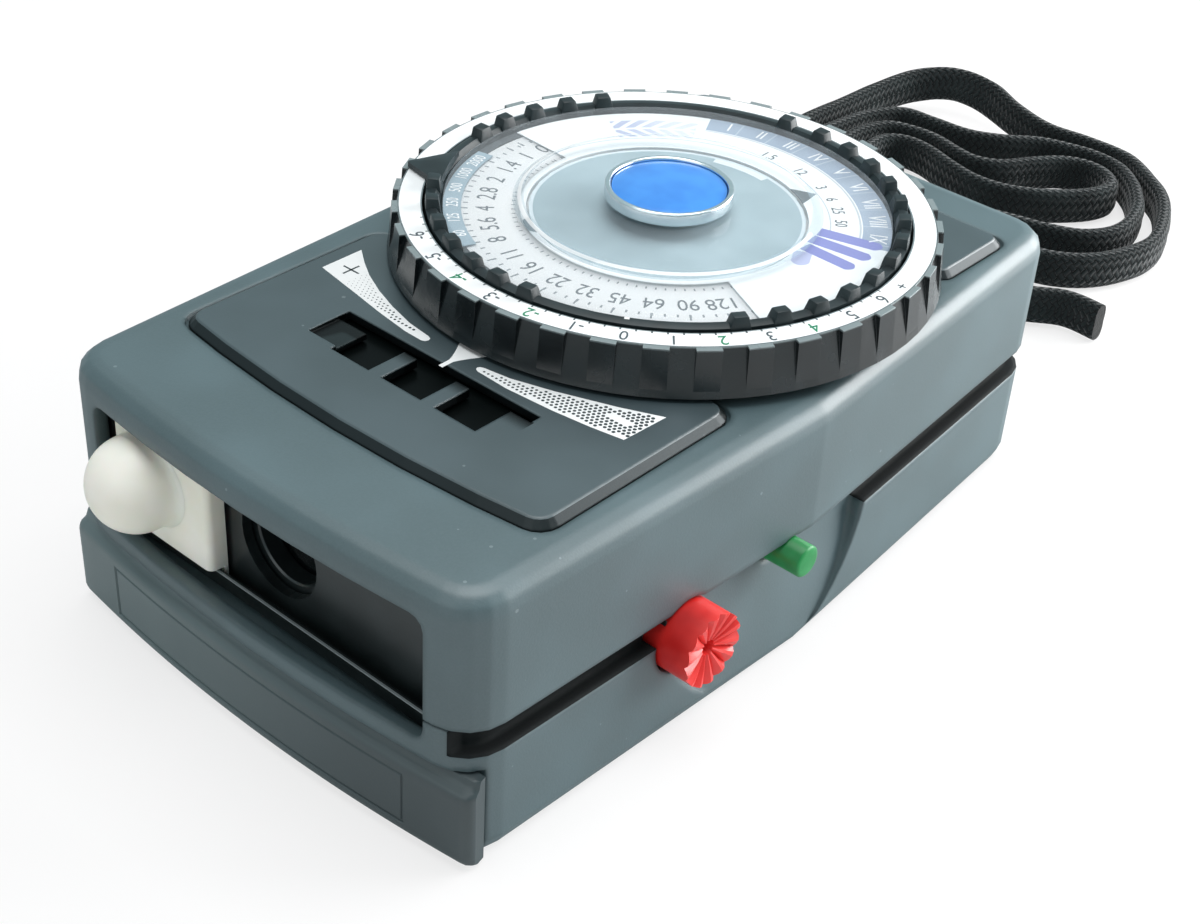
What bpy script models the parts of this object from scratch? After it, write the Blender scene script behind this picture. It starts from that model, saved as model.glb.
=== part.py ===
"""Hand-held exposure meter with a serrated calculator dial, a sliding diffuser and two side keys.

Metres, +Z up. The flat underside is z = 0, x = 0 is the middle line and y = 0 the widest place of the
housing. The sensor end faces -Y, the strap end +Y and the keys +X.
"""
import math

import bmesh
import bpy
from mathutils import Matrix, Vector

for old in list(bpy.data.objects):
    bpy.data.objects.remove(old)

# Fits shared by all pieces
GAP = 0.0003            # clearance between pieces that touch
RUN = 0.0004            # clearance round pieces that move
OVER = 0.002            # how far a cutter runs past the face that it cuts
FULL_TURN = 2 * math.pi
MM_PER_METRE = 1000      # for what is printed

# Housing
BODY_WIDTH = 0.0680     # at the widest place
FRONT_WIDTH = 0.0640    # at the front corners
BACK_WIDTH = 0.0592     # at the back corners
FRONT_REACH = 0.0556    # from the widest place to the middle of the bowed front
BACK_REACH = 0.0555
FRONT_BOW = 0.0022      # how far the middle of the front lies ahead of its corners
CORNER_RADIUS = 0.0055
BODY_TOP = 0.0342
SEAM_Z = 0.0176         # where the upper shell meets the lower one
TOP_EDGE = 0.0025
LOWER_EDGE = 0.0020
UPPER_WALL = 0.0030
FRONT_WALL = 0.0018
ROOF = 0.0020
FLOOR = 0.0030
GROOVE_Z = 0.0142       # lower edge of the black groove between the shells
GROOVE_DEEP = 0.0020
TONGUE_WALL = 0.0018    # wall behind the groove
GROOVE_FRONT_X = 0.0288
GROOVE_KEY_END_Y = -0.0250
GROOVE_BACK_START_Y = 0.0080
GROOVE_POINT = 0.0028   # slant of the groove's pointed end

# Finger recess on the key side
RECESS_Y = -0.0061
RECESS_RADIUS = 0.0187
RECESS_DEEP = 0.0038    # at the seam
RECESS_SHALLOW = 0.0004 # at the underside
RECESS_WALL = 0.0020

# Plates on the top
PLATE_RISE = 0.0008
PLATE_SUNK = 0.0003
PLATE_EDGE = 0.0010
PLATE_BEHIND = 0.0135
PLATE_FRONT_Y = PLATE_BEHIND - FRONT_REACH
PLATE_BOW = 0.0021
PLATE_HALF = 0.0282
PLATE_BACK_Y = -0.0090
PLATE_CORNER = 0.0028
REAR_PLATE_HALF = 0.0274
REAR_PLATE_FRONT_Y = 0.0322
REAR_PLATE_SHORT = 0.0085
REAR_PLATE_BACK_Y = BACK_REACH - REAR_PLATE_SHORT
REAR_PLATE_CORNER = 0.0022

# Needle window: three squares that open off one narrow strip, with a shallow pocket at its left end
WINDOW_LEFT = -0.0156
WINDOW_RIGHT = 0.0145
WINDOW_FAR_SHARE = 0.461    # how far toward the front its far edge lies
WINDOW_FAR_Y = -WINDOW_FAR_SHARE * FRONT_REACH
WINDOW_DEEP = 0.0070
WINDOW_NEAR_Y = WINDOW_FAR_Y - WINDOW_DEEP
WINDOW_STRIP = 0.0016
WINDOW_CELL = 0.0062
WINDOW_PITCH = 0.0082
WINDOW_CELLS = 3
POCKET_SHORT = 0.0008       # how much sooner the pocket ends than the squares
POCKET_DEEP = 0.0004
WINDOW_MARGIN = 0.0010
GLASS_THICK = 0.0010

# Front slot, diffuser and sensor
SLOT_HALF = 0.0260
SLOT_LOW = 0.0143
SLOT_HIGH = 0.0305
SLOT_CORNER = 0.0018
FRAME_HALF = 0.0272
FRAME_BEHIND = 0.0054   # front face of the dark wall behind the slot
FRAME_BACK_Y = FRAME_BEHIND - FRONT_REACH
FRAME_WALL = 0.0012
RAIL_LIP = 0.0005
RAIL_CHANNEL = 0.0012
RAIL_LOW = 0.0155       # top of the lower lip
RAIL_HIGH = 0.0300      # underside of the upper lip
RAIL_DEEP = 0.0014
SENSOR_Z = 0.0225
SENSOR_HOLE = 0.0060
TUBE_RADIUS = 0.0072
TUBE_LONG = 0.0080
TUBE_BORE = 0.0051
LENS_THICK = 0.0016
CELL_THICK = 0.0020
TUBE_STEP = 0.0022      # depth of the lens behind the tube's mouth
DIFFUSER_LEFT = -0.0240
DIFFUSER_WIDE = 0.0156
DIFFUSER_BEHIND = 0.0026
DIFFUSER_FACE_Y = DIFFUSER_BEHIND - FRONT_REACH
DOME_X = -0.0186
DOME_RADIUS = 0.0056
DOME_COLLAR = 0.0015
DOME_RISE = 0.0008      # how far the dome sits above the middle of its plate

# Front bar
BAR_HALF = 0.0326
BAR_OUT = 0.0006
BAR_THICK = 0.0032
BAR_LOW = 0.0005
BAR_HIGH = 0.0120
BAR_EDGE = 0.0013
BAR_SEAT_WALL = 0.0016

# Dial
DIAL_Y = 0.0118
RING_RADIUS = 0.0330    # serrated wall at the rim
RING_FLARE = 0.0008     # extra radius at its foot
RING_LOW = 0.0355
RING_HIGH = 0.0414
RING_INNER = 0.0296
TEETH = 36
PAD_STEP = 0.0005       # facet between two pads lies this much deeper
NOTCH_WIDE = 0.0012
NOTCH_DEEP = 0.0017
NOTCH_SHARE = 0.67      # how far down the wall each notch runs
WEB_LOW = 0.0373
WEB_THICK = 0.0012
WEB_BOSS_LOW = 0.0368
SCALE_SEAT = 0.0009     # depth of the seat of the outer scale
SCALE_THICK = 0.0006
OUTER_SCALE_RADIUS = 0.0324
DISC_THICK = 0.0007
SCALE_DISC_RADIUS = 0.0264
CENTRE_DISC_RADIUS = 0.0168
LUG_INNER = 0.0274
LUG_OUTER = 0.0292
LUG_RING_LOW = WEB_LOW + WEB_THICK + DISC_THICK + GAP * 2
LUG_RING_PROUD = 0.0002
LUG_RING_HIGH = RING_HIGH + LUG_RING_PROUD
LUG_PROUD = 0.0015
LUG_TOP = RING_HIGH + LUG_PROUD
LUG_LIP = 0.0262
LUG_WIDE = 0.0026
LUG_TOP_SHARE = 0.62    # width of a lug's crown as a share of its foot
LUG_ANGLES = (326, 336, 346, 356, 6, 16, 26, 36, 46, 56, 66, 76, 86, 97,
              148, 158, 168, 178, 187, 218, 228.5, 239, 249, 259, 268, 277)
POINTER_ANGLE = 210
POINTER_HALF_SHARE = 0.17
POINTER_TIP = 0.0326
CLEAR_RADIUS = 0.0271
CLEAR_THICK = 0.0009
CLEAR_STEP_RADIUS = 0.0180
CLEAR_STEP = 0.0005
HUB_RADIUS = 0.0078
HUB_TALL = 0.0017
HUB_RIM = 0.0007
HUB_FLOOR = 0.0006
SHAFT_RADIUS = 0.0030

# Potentiometer under the dial
POT_RADIUS = 0.0080
POT_TALL = 0.0080
BUSH_RADIUS = 0.0045
BUSH_TOP = 0.0359
NUT_ACROSS = 0.0062
NUT_TALL = 0.0018
POT_FLOOR = 0.0010

# Keys
KEY_Y = -0.0213
KEY_Z = 0.0135
KEY_RADIUS = 0.0045
KEY_OUT = 0.0040        # face beyond the side wall
KEY_LONG = 0.0076
KEY_FLUTES = 14
KEY_FLUTE_DEEP = 0.0009
KEY_HOLLOW = 0.0009
KEY_HOLLOW_DEEP = 0.0016
KEY_TRAVEL = 0.0020
KEY_BOTTOM_X = 0.0250   # floor of the pocket
KEY_SLEEVE = 0.0023     # wall round and behind the pocket
STEM_RADIUS = 0.0015
STEM_IN = 0.0037        # how far the stem reaches into the head
COLLAR = 0.0012
GREEN_Y = -0.0036
GREEN_Z = 0.0155
GREEN_RADIUS = 0.0020
GREEN_OUT = 0.0025
GREEN_TRAVEL = 0.0015
GREEN_COLLAR_IN = 0.0080    # its collar behind the widest place of the side
GREEN_COLLAR_X = BODY_WIDTH / 2 - GREEN_COLLAR_IN
GREEN_PIN = 0.0010
GREEN_PIN_LONG = 0.0075
SPRING_WIRE = 0.0003
SPRING_TURNS = 4
SWITCH_WIDE = 0.0074
SWITCH_TALL = 0.0100

# Meter movement
METER_PLACE_SHARE = 0.234   # how far toward the front it stands
METER_Y = -METER_PLACE_SHARE * FRONT_REACH
METER_RADIUS = 0.0090
METER_TOP = 0.0265
METER_WALL = 0.0010
CORE_RADIUS = 0.0036
CORE_LOW = 0.0170
CORE_HIGH = 0.0230
COIL_GAP = 0.0006
COIL_THICK = 0.0010
COIL_DEEP = 0.0022
ARBOR = 0.0004
BRIDGE_THICK = 0.0008
BRIDGE_WIDE = 0.0030
NEEDLE_SHORT = 0.0010   # how far its tip stays from the window's near edge
NEEDLE_LONG = METER_Y - WINDOW_NEAR_Y - NEEDLE_SHORT
NEEDLE_TAIL = 0.0040
NEEDLE_WIDE = 0.0005
NEEDLE_TALL = 0.0004
NEEDLE_HUB = 0.0011
NEEDLE_Z = 0.0286
NEEDLE_PLATE_HALF = 0.0170
NEEDLE_PLATE_RIM = 0.0014
NEEDLE_PLATE_FRONT_Y = WINDOW_NEAR_Y - NEEDLE_PLATE_RIM
NEEDLE_PLATE_AHEAD = 0.0062
NEEDLE_PLATE_BACK_Y = METER_Y - NEEDLE_PLATE_AHEAD

# Circuit board and what stands on it
BOARD_Z = 0.0060
BOARD_THICK = 0.0012
BOARD_HALF = 0.0205
BOARD_REACH_SHARE = 0.665   # how far toward the front it runs
BOARD_FRONT_Y = -BOARD_REACH_SHARE * FRONT_REACH
BOARD_BACK_Y = 0.0135
POST_RADIUS = 0.0022
POST_INSET = 0.0030
CAPACITOR_RADIUS = 0.0030
CAPACITOR_TALL = 0.0070
CHIP = (0.0090, 0.0065, 0.0030)
TRIMMER_RADIUS = 0.0032
TRIMMER_TALL = 0.0028

# Battery and its sliding cover
BATTERY_WIDE = 0.0262
BATTERY_TALL = 0.0172
BATTERY_SIDE = 0.00035  # room between the battery or its snap and a side wall
BATTERY_END = 0.0007    # room behind it
TERMINAL_RADIUS = 0.0040
TERMINAL_LONG = 0.0026
TERMINAL_PITCH = 0.0127
SNAP_THICK = 0.0016
LOWER_WALL = GROOVE_DEEP + TONGUE_WALL
BATTERY_ROOM = min(BACK_WIDTH, BODY_WIDTH) - 2 * (LOWER_WALL + BATTERY_SIDE)
BATTERY_LONG = BATTERY_ROOM - TERMINAL_LONG - GAP - SNAP_THICK
BATTERY_X = (BATTERY_LONG - BATTERY_ROOM) / 2
BATTERY_Y = BACK_REACH - LOWER_WALL - BATTERY_END - BATTERY_WIDE / 2
BATTERY_FRONT_Y = BATTERY_Y - BATTERY_WIDE / 2
COVER_SIDE = 0.0060     # housing beside the cover
COVER_HALF = BACK_WIDTH / 2 - COVER_SIDE
COVER_TONGUE = 0.0014
COVER_THICK = 0.0017
COVER_LIFT = 0.0002
COVER_TONGUE_THICK = 0.0008
COVER_LAP = 0.0023      # how far it runs past the battery
COVER_FRONT_Y = BATTERY_FRONT_Y - COVER_LAP
COVER_BACK_SHORT = 0.0004
HATCH_LAP = 0.0010
HATCH_HALF = COVER_HALF - HATCH_LAP
GRIP_DEEP = 0.0005
GRIP_WIDE = 0.0010
GRIP_PITCH = 0.0022
GRIPS = 4

# Screws that hold the shells together
BOSS_RADIUS = 0.0030
FRONT_SCREW_X = 0.0220
FRONT_SCREW_BEHIND = 0.0136
FRONT_SCREW_Y = FRONT_SCREW_BEHIND - FRONT_REACH
REAR_SCREW_X = 0.0250
REAR_SCREW_ROOM = 0.0028
REAR_SCREW_Y = BATTERY_FRONT_Y - BOSS_RADIUS - REAR_SCREW_ROOM
SCREW_RADIUS = 0.0011
SCREW_HEAD_RADIUS = 0.0023
SCREW_HEAD_TALL = 0.0014
SCREW_SUNK = 0.0006
SCREW_END_Z = 0.0262
SLOT_WIDE = 0.0006
SLOT_DEEP = 0.0005

# Strap
STRAP_WIDE = 0.0060
STRAP_THICK = 0.0028
STRAP_FLOOR = 0.0002
STRAP_X = -0.0080
STRAP_Z = 0.0080
NOTCH_HALF = 0.0040
NOTCH_Z = (0.0036, 0.0126)
NOTCH_BACK_DEEP = 0.0030
PIN_RADIUS = 0.0009
STRAP_STEP = 0.0052     # distance between two rings of the modelled strap
STRAP_LIFT = 0.0022     # how high the strap stands off the table where it is lifted
STRAP_LEAN = 0.61       # how far it leans over there, in radians
STRAP_FAR_Y = 0.1       # the lifted turn lies behind this

MODEL = bpy.data.collections.new("light_meter")
CUTTERS = bpy.data.collections.new("cutters")
bpy.context.scene.collection.children.link(MODEL)
bpy.context.scene.collection.children.link(CUTTERS)


def material(name, color, roughness, metallic=0.0, alpha=1.0):
    """A Principled material"""
    made = bpy.data.materials.new(name)
    made.use_nodes = True
    shader = made.node_tree.nodes["Principled BSDF"]
    shader.inputs["Base Color"].default_value = (*color, 1.0)
    shader.inputs["Roughness"].default_value = roughness
    shader.inputs["Metallic"].default_value = metallic
    shader.inputs["Alpha"].default_value = alpha
    return made


SHELL = material("shell", (0.060, 0.072, 0.075), 0.55)
BLACK = material("black", (0.012, 0.012, 0.013), 0.45)
PLATE = material("plate", (0.075, 0.085, 0.088), 0.60)
WHITE = material("white", (0.85, 0.86, 0.85), 0.45)
IVORY = material("ivory", (0.86, 0.84, 0.74), 0.40)
RED = material("red", (0.75, 0.035, 0.025), 0.35)
GREEN = material("green", (0.005, 0.30, 0.09), 0.40)
BLUE = material("blue", (0.02, 0.06, 0.45), 0.30)
GREY = material("grey", (0.20, 0.24, 0.26), 0.45)
CLEAR = material("clear", (0.85, 0.90, 0.92), 0.05, alpha=0.3)
STEEL = material("steel", (0.60, 0.60, 0.60), 0.30, metallic=1.0)
BRASS = material("brass", (0.70, 0.50, 0.20), 0.35, metallic=1.0)
BOARD = material("board", (0.05, 0.22, 0.10), 0.50)
FABRIC = material("strap", (0.015, 0.016, 0.018), 0.95)


def empty(name, place):
    """A pivot that moving pieces hang on"""
    made = bpy.data.objects.new(name, None)
    made.location = place
    made.empty_display_size = BODY_TOP
    MODEL.objects.link(made)
    return made


def own(mesh, name, look=None, parent=None):
    """An object for a mesh: a piece where it has a material, and otherwise a cutter"""
    made = bpy.data.objects.new(name, mesh)
    mesh.name = name
    if look is None:
        CUTTERS.objects.link(made)
        made.hide_render = True
        made.display_type = "WIRE"
        return made
    MODEL.objects.link(made)
    mesh.materials.clear()
    mesh.materials.append(look)
    mesh.shade_smooth()
    mesh.set_sharp_from_angle(angle=math.radians(32))
    if parent:
        made.parent = parent
        made.matrix_parent_inverse = Matrix.Translation(-parent.location)
    return made


def combine(target, operation, *others):
    """Boolean modifiers: DIFFERENCE cuts, UNION joins"""
    for other in others:
        step = target.modifiers.new(other.name, "BOOLEAN")
        step.operation = operation
        step.object = other
    return target


def turn_to(bm, axis):
    """Turns a form that was made along Z, so that it runs along X or Y"""
    if axis == "X":    # plan x, y become y, z
        bmesh.ops.transform(bm, matrix=Matrix(((0, 0, 1, 0), (1, 0, 0, 0), (0, 1, 0, 0), (0, 0, 0, 1))), verts=bm.verts)
    if axis == "Y":    # plan x, y become x, z
        bmesh.ops.transform(bm, matrix=Matrix(((1, 0, 0, 0), (0, 0, 1, 0), (0, 1, 0, 0), (0, 0, 0, 1))), verts=bm.verts)
        bmesh.ops.reverse_faces(bm, faces=bm.faces)


def mesh_of(bm):
    """The finished mesh of a bmesh"""
    mesh = bpy.data.meshes.new("form")
    bm.to_mesh(mesh)
    bm.free()
    return mesh


def prism(outlines, low, high, axis="Z"):
    """A flat piece: closed outlines, holes among them, filled and extruded from low to high"""
    curve = bpy.data.curves.new("outline", "CURVE")
    curve.dimensions, curve.fill_mode, curve.extrude = "2D", "BOTH", (high - low) / 2
    for outline in outlines:
        spline = curve.splines.new("POLY")
        spline.use_cyclic_u = True
        spline.points.add(len(outline) - 1)
        for point, (u, v) in zip(spline.points, outline):
            point.co = (u, v, 0, 1)
    guide = bpy.data.objects.new("outline", curve)
    CUTTERS.objects.link(guide)
    bm = bmesh.new()
    bm.from_mesh(bpy.data.meshes.new_from_object(guide.evaluated_get(bpy.context.evaluated_depsgraph_get())))
    bpy.data.objects.remove(guide)
    bmesh.ops.remove_doubles(bm, verts=bm.verts, dist=GAP / 30)
    bmesh.ops.translate(bm, verts=bm.verts, vec=(0, 0, (low + high) / 2))
    bmesh.ops.dissolve_limit(bm, angle_limit=math.radians(0.2), verts=bm.verts, edges=bm.edges)
    bmesh.ops.recalc_face_normals(bm, faces=bm.faces)
    turn_to(bm, axis)
    return mesh_of(bm)


def block(size, centre):
    """A box"""
    bm = bmesh.new()
    bmesh.ops.create_cube(bm, size=1)
    bmesh.ops.scale(bm, vec=size, verts=bm.verts)
    bmesh.ops.translate(bm, vec=centre, verts=bm.verts)
    return mesh_of(bm)


def span(low, high):
    """A box between two corners"""
    return block([b - a for a, b in zip(low, high)], [(a + b) / 2 for a, b in zip(low, high)])


def rod(radius, start, end, axis="Z", sides=24):
    """A round bar from one end's centre, along an axis, to a coordinate on that axis"""
    index = "XYZ".index(axis)
    bm = bmesh.new()
    bmesh.ops.create_cone(bm, cap_ends=True, segments=sides, radius1=radius, radius2=radius, depth=end - start[index])
    turn_to(bm, axis)
    bmesh.ops.recalc_face_normals(bm, faces=bm.faces)
    centre = list(start)
    centre[index] = (start[index] + end) / 2
    bmesh.ops.translate(bm, vec=centre, verts=bm.verts)
    return mesh_of(bm)


def turned(profile, steps, centre=(0, 0, 0), axis="Z"):
    """A turned form: radius and height pairs, down the outer side, swept by a Screw modifier"""
    bm = bmesh.new()
    points = [bm.verts.new((radius, 0, height)) for radius, height in profile]
    for a, b in zip(points, points[1:]):
        bm.edges.new((a, b))
    if profile[0][0] > 0:
        bm.edges.new((points[-1], points[0]))
    guide = own(mesh_of(bm), "profile")
    screw = guide.modifiers.new("sweep", "SCREW")
    screw.steps = screw.render_steps = steps
    screw.use_merge_vertices, screw.merge_threshold = True, GAP / 30
    bpy.context.view_layer.update()
    bm = bmesh.new()
    bm.from_mesh(bpy.data.meshes.new_from_object(guide.evaluated_get(bpy.context.evaluated_depsgraph_get())))
    bpy.data.objects.remove(guide)
    bmesh.ops.remove_doubles(bm, verts=bm.verts, dist=GAP / 30)
    bmesh.ops.recalc_face_normals(bm, faces=bm.faces)
    turn_to(bm, axis)
    bmesh.ops.recalc_face_normals(bm, faces=bm.faces)
    bmesh.ops.translate(bm, vec=centre, verts=bm.verts)
    return mesh_of(bm)


def soften(mesh, width, segments, wanted):
    """Rounds the sharp edges whose two ends both pass the test"""
    bm = bmesh.new()
    bm.from_mesh(mesh)
    sharp = [edge for edge in bm.edges if edge.calc_face_angle(0) > math.radians(32)
             and all(wanted(vert.co) for vert in edge.verts)]
    bmesh.ops.bevel(bm, geom=sharp, offset=width, offset_type="OFFSET", segments=segments, profile=0.5,
                    affect="EDGES", clamp_overlap=True)
    bm.to_mesh(mesh)
    bm.free()
    return mesh


def at_height(height):
    """Test for soften: vertices at one height"""
    return lambda place: abs(place.z - height) < GAP / 10


def circle(radius, steps, centre=(0, 0)):
    """Points of a circle"""
    return [(centre[0] + radius * math.cos(FULL_TURN * i / steps), centre[1] + radius * math.sin(FULL_TURN * i / steps))
            for i in range(steps)]


def rounded(corners, radii, steps):
    """An outline whose corners become arcs; a radius of zero leaves its corner sharp"""
    out = []
    count = len(corners)
    for i, (corner, radius) in enumerate(zip(corners, radii)):
        here = Vector(corner)
        back = (Vector(corners[i - 1]) - here).normalized()
        ahead = (Vector(corners[(i + 1) % count]) - here).normalized()
        if radius <= 0:
            out.append(tuple(here))
            continue
        half = back.angle(ahead) / 2
        centre = here + (back + ahead).normalized() * radius / math.sin(half)
        start = here + back * radius / math.tan(half) - centre
        sweep = math.pi - 2 * half
        if ahead.x * back.y - ahead.y * back.x < 0:
            sweep = -sweep
        for k in range(steps + 1):
            turn = sweep * k / steps
            out.append((centre.x + start.x * math.cos(turn) - start.y * math.sin(turn),
                        centre.y + start.x * math.sin(turn) + start.y * math.cos(turn)))
    return out


def bow(x, middle_y, depth, half):
    """Height of a shallow arc that falls back by depth at x = half"""
    return middle_y + depth * (x / half) ** 2


def side_x(y):
    """Half width of the housing at a place along its length"""
    end, reach = (FRONT_WIDTH, FRONT_REACH - FRONT_BOW) if y < 0 else (BACK_WIDTH, BACK_REACH)
    return (BODY_WIDTH + (end - BODY_WIDTH) * abs(y) / reach) / 2


def housing_plan(inset, front_inset):
    """Plan of the housing, drawn in by one distance at the sides and back and another at the front"""
    front_half, back_half, widest = FRONT_WIDTH / 2 - inset, BACK_WIDTH / 2 - inset, BODY_WIDTH / 2 - inset
    shares = (-1, -0.75, -0.5, -0.25, 0, 0.25, 0.5, 0.75, 1)
    front = [(s * front_half, bow(s * front_half, front_inset - FRONT_REACH, FRONT_BOW, FRONT_WIDTH / 2)) for s in shares]
    corners = front + [(widest, 0), (back_half, BACK_REACH - inset), (-back_half, BACK_REACH - inset), (-widest, 0)]
    radius = max(CORNER_RADIUS - inset, CORNER_RADIUS / 4)
    radii = [radius] + [0] * (len(front) - 2) + [radius, 0, radius, radius, 0]
    return rounded(corners, radii, 4)


def slot_plan(half, low, high, radius):
    """A rounded rectangle seen from the front: x and z"""
    return rounded([(-half, low), (half, low), (half, high), (-half, high)], [radius] * 4, 3)


# Lower shell
def scoop(extra, top, depth_more):
    """Finger recess: a disc across the side whose inner face leans outward toward the underside"""
    bm = bmesh.new()
    bmesh.ops.create_cone(bm, cap_ends=True, segments=40, radius1=RECESS_RADIUS + extra, radius2=RECESS_RADIUS + extra,
                          depth=BODY_WIDTH / 2)
    turn_to(bm, "X")
    bmesh.ops.recalc_face_normals(bm, faces=bm.faces)
    bmesh.ops.translate(bm, vec=(BODY_WIDTH / 2 + BODY_WIDTH / 4, RECESS_Y, SEAM_Z), verts=bm.verts)
    lean = (RECESS_DEEP - RECESS_SHALLOW) / SEAM_Z
    for vert in bm.verts:
        if vert.co.x < BODY_WIDTH / 2 + OVER:
            vert.co.x = BODY_WIDTH / 2 - RECESS_SHALLOW - lean * vert.co.z - depth_more
    bmesh.ops.bisect_plane(bm, geom=list(bm.verts) + list(bm.edges) + list(bm.faces), plane_co=(0, 0, top),
                           plane_no=(0, 0, 1), clear_outer=True)
    bmesh.ops.holes_fill(bm, edges=[edge for edge in bm.edges if edge.is_boundary])
    bmesh.ops.recalc_face_normals(bm, faces=bm.faces)
    return mesh_of(bm)


def bar_plan(extra):
    """Plan of the front bar, grown all round by a clearance"""
    shares = (-1, -0.75, -0.5, -0.25, 0, 0.25, 0.5, 0.75, 1)
    half = BAR_HALF + extra
    front = [(s * half, -FRONT_REACH - BAR_OUT - extra + FRONT_BOW * s * s) for s in shares]
    back = [(s * half, -FRONT_REACH - BAR_OUT + BAR_THICK + extra + FRONT_BOW * s * s) for s in reversed(shares)]
    radii = [BAR_THICK * 0.45] + [0] * 7 + [BAR_THICK * 0.45]
    return rounded(front + back, radii + radii, 3)


SCREWS = [(sign * x, y) for x, y in ((FRONT_SCREW_X, FRONT_SCREW_Y), (REAR_SCREW_X, REAR_SCREW_Y)) for sign in (-1, 1)]
LOWER_TOP = SEAM_Z - GAP
KEY_FACE_X = side_x(KEY_Y) + KEY_OUT
GREEN_FACE_X = side_x(GREEN_Y) + GREEN_OUT
OUTSIDE_X = BODY_WIDTH / 2 + KEY_OUT + OVER
posts = [(sx * (BOARD_HALF - POST_INSET), y) for sx in (-1, 1) for y in (BOARD_FRONT_Y + POST_INSET, BOARD_BACK_Y - POST_INSET)]

lower_cavity = own(prism([housing_plan(LOWER_WALL, BAR_THICK + BAR_SEAT_WALL)], FLOOR, SEAM_Z + OVER), "lower_cavity")
slot_bay = own(prism([housing_plan(LOWER_WALL + GAP, FRONT_WALL)], SLOT_LOW - RAIL_DEEP, SEAM_Z + OVER * 2), "slot_bay")
combine(lower_cavity, "UNION", slot_bay)
combine(lower_cavity, "DIFFERENCE", own(scoop(RECESS_WALL, SEAM_Z + OVER * 2, RECESS_WALL), "recess_wall"))
for x, y in SCREWS:
    combine(lower_cavity, "DIFFERENCE", own(rod(BOSS_RADIUS, (x, y, 0), SEAM_Z + OVER * 2, sides=16), "lower_boss"))
for x, y in posts:
    combine(lower_cavity, "DIFFERENCE", own(rod(POST_RADIUS, (x, y, 0), BOARD_Z - GAP, sides=12), "board_post"))
combine(lower_cavity, "DIFFERENCE", own(rod(KEY_RADIUS + RUN + KEY_SLEEVE * 0.6, (KEY_BOTTOM_X - KEY_SLEEVE, KEY_Y, KEY_Z),
                                            OUTSIDE_X, "X", 24), "key_sleeve"))

bottom_housing = own(soften(prism([housing_plan(0, 0)], 0, LOWER_TOP), LOWER_EDGE, 2, at_height(0)), "bottom_housing", SHELL)
groove = own(prism([housing_plan(-OVER, -OVER), housing_plan(GROOVE_DEEP, GROOVE_DEEP)], GROOVE_Z, SEAM_Z + OVER), "groove")
combine(groove, "DIFFERENCE",
        own(span((-GROOVE_FRONT_X, -BODY_WIDTH, 0), (GROOVE_FRONT_X, -BODY_WIDTH / 2, BODY_TOP)), "between_grooves"),
        own(prism([[(GROOVE_KEY_END_Y, 0), (GROOVE_BACK_START_Y, 0), (GROOVE_BACK_START_Y, GROOVE_Z),
                    (GROOVE_BACK_START_Y - GROOVE_POINT, SEAM_Z + OVER * 2), (GROOVE_KEY_END_Y, SEAM_Z + OVER * 2)]],
                  BODY_WIDTH / 4, BODY_WIDTH, "X"), "beside_keys"))
key_pocket = own(rod(KEY_RADIUS + RUN, (KEY_BOTTOM_X, KEY_Y, KEY_Z), OUTSIDE_X, "X", 32), "key_pocket")
green_hole = own(rod(GREEN_RADIUS + RUN, (GREEN_COLLAR_X, GREEN_Y, GREEN_Z), OUTSIDE_X, "X", 20), "green_hole")
slot_cutter = own(prism([slot_plan(SLOT_HALF, SLOT_LOW, SLOT_HIGH, SLOT_CORNER)], -FRONT_REACH - OVER, FRAME_BACK_Y, "Y"), "slot_cutter")
bar_seat = own(prism([bar_plan(GAP)], -OVER, BAR_HIGH + GAP), "bar_seat")
strap_notch = own(span((STRAP_X - NOTCH_HALF, BACK_REACH - NOTCH_BACK_DEEP, NOTCH_Z[0]),
                       (STRAP_X + NOTCH_HALF, BACK_REACH + OVER, NOTCH_Z[1])), "strap_notch")
cover_top = COVER_LIFT + COVER_THICK + GAP
tongue_low = COVER_LIFT + COVER_THICK - COVER_TONGUE_THICK - GAP
cover_slide = own(span((-COVER_HALF - GAP, COVER_FRONT_Y - GAP, -OVER), (COVER_HALF + GAP, BACK_REACH + OVER, cover_top)), "cover_slide")
tongue_slide = own(span((-COVER_HALF - COVER_TONGUE - GAP, COVER_FRONT_Y - GAP, tongue_low),
                        (COVER_HALF + COVER_TONGUE + GAP, BACK_REACH + OVER, cover_top)), "tongue_slide")
hatch = own(span((-HATCH_HALF, BATTERY_FRONT_Y, 0), (HATCH_HALF, BACK_REACH - LOWER_WALL, FLOOR + OVER)), "hatch")
combine(bottom_housing, "DIFFERENCE", lower_cavity, own(scoop(0, SEAM_Z + OVER, 0), "recess"), groove, key_pocket, green_hole,
        own(rod(STEM_RADIUS + RUN, (KEY_BOTTOM_X - KEY_SLEEVE - OVER, KEY_Y, KEY_Z), KEY_BOTTOM_X + OVER, "X", 16), "stem_hole"),
        slot_cutter, bar_seat, strap_notch, cover_slide, tongue_slide, hatch)
for x, y in SCREWS:
    combine(bottom_housing, "DIFFERENCE",
            own(rod(SCREW_HEAD_RADIUS + GAP, (x, y, -OVER), SCREW_SUNK + SCREW_HEAD_TALL + GAP, sides=20), "head_seat"),
            own(rod(SCREW_RADIUS + GAP, (x, y, 0), SEAM_Z + OVER, sides=12), "screw_hole"))

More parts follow.
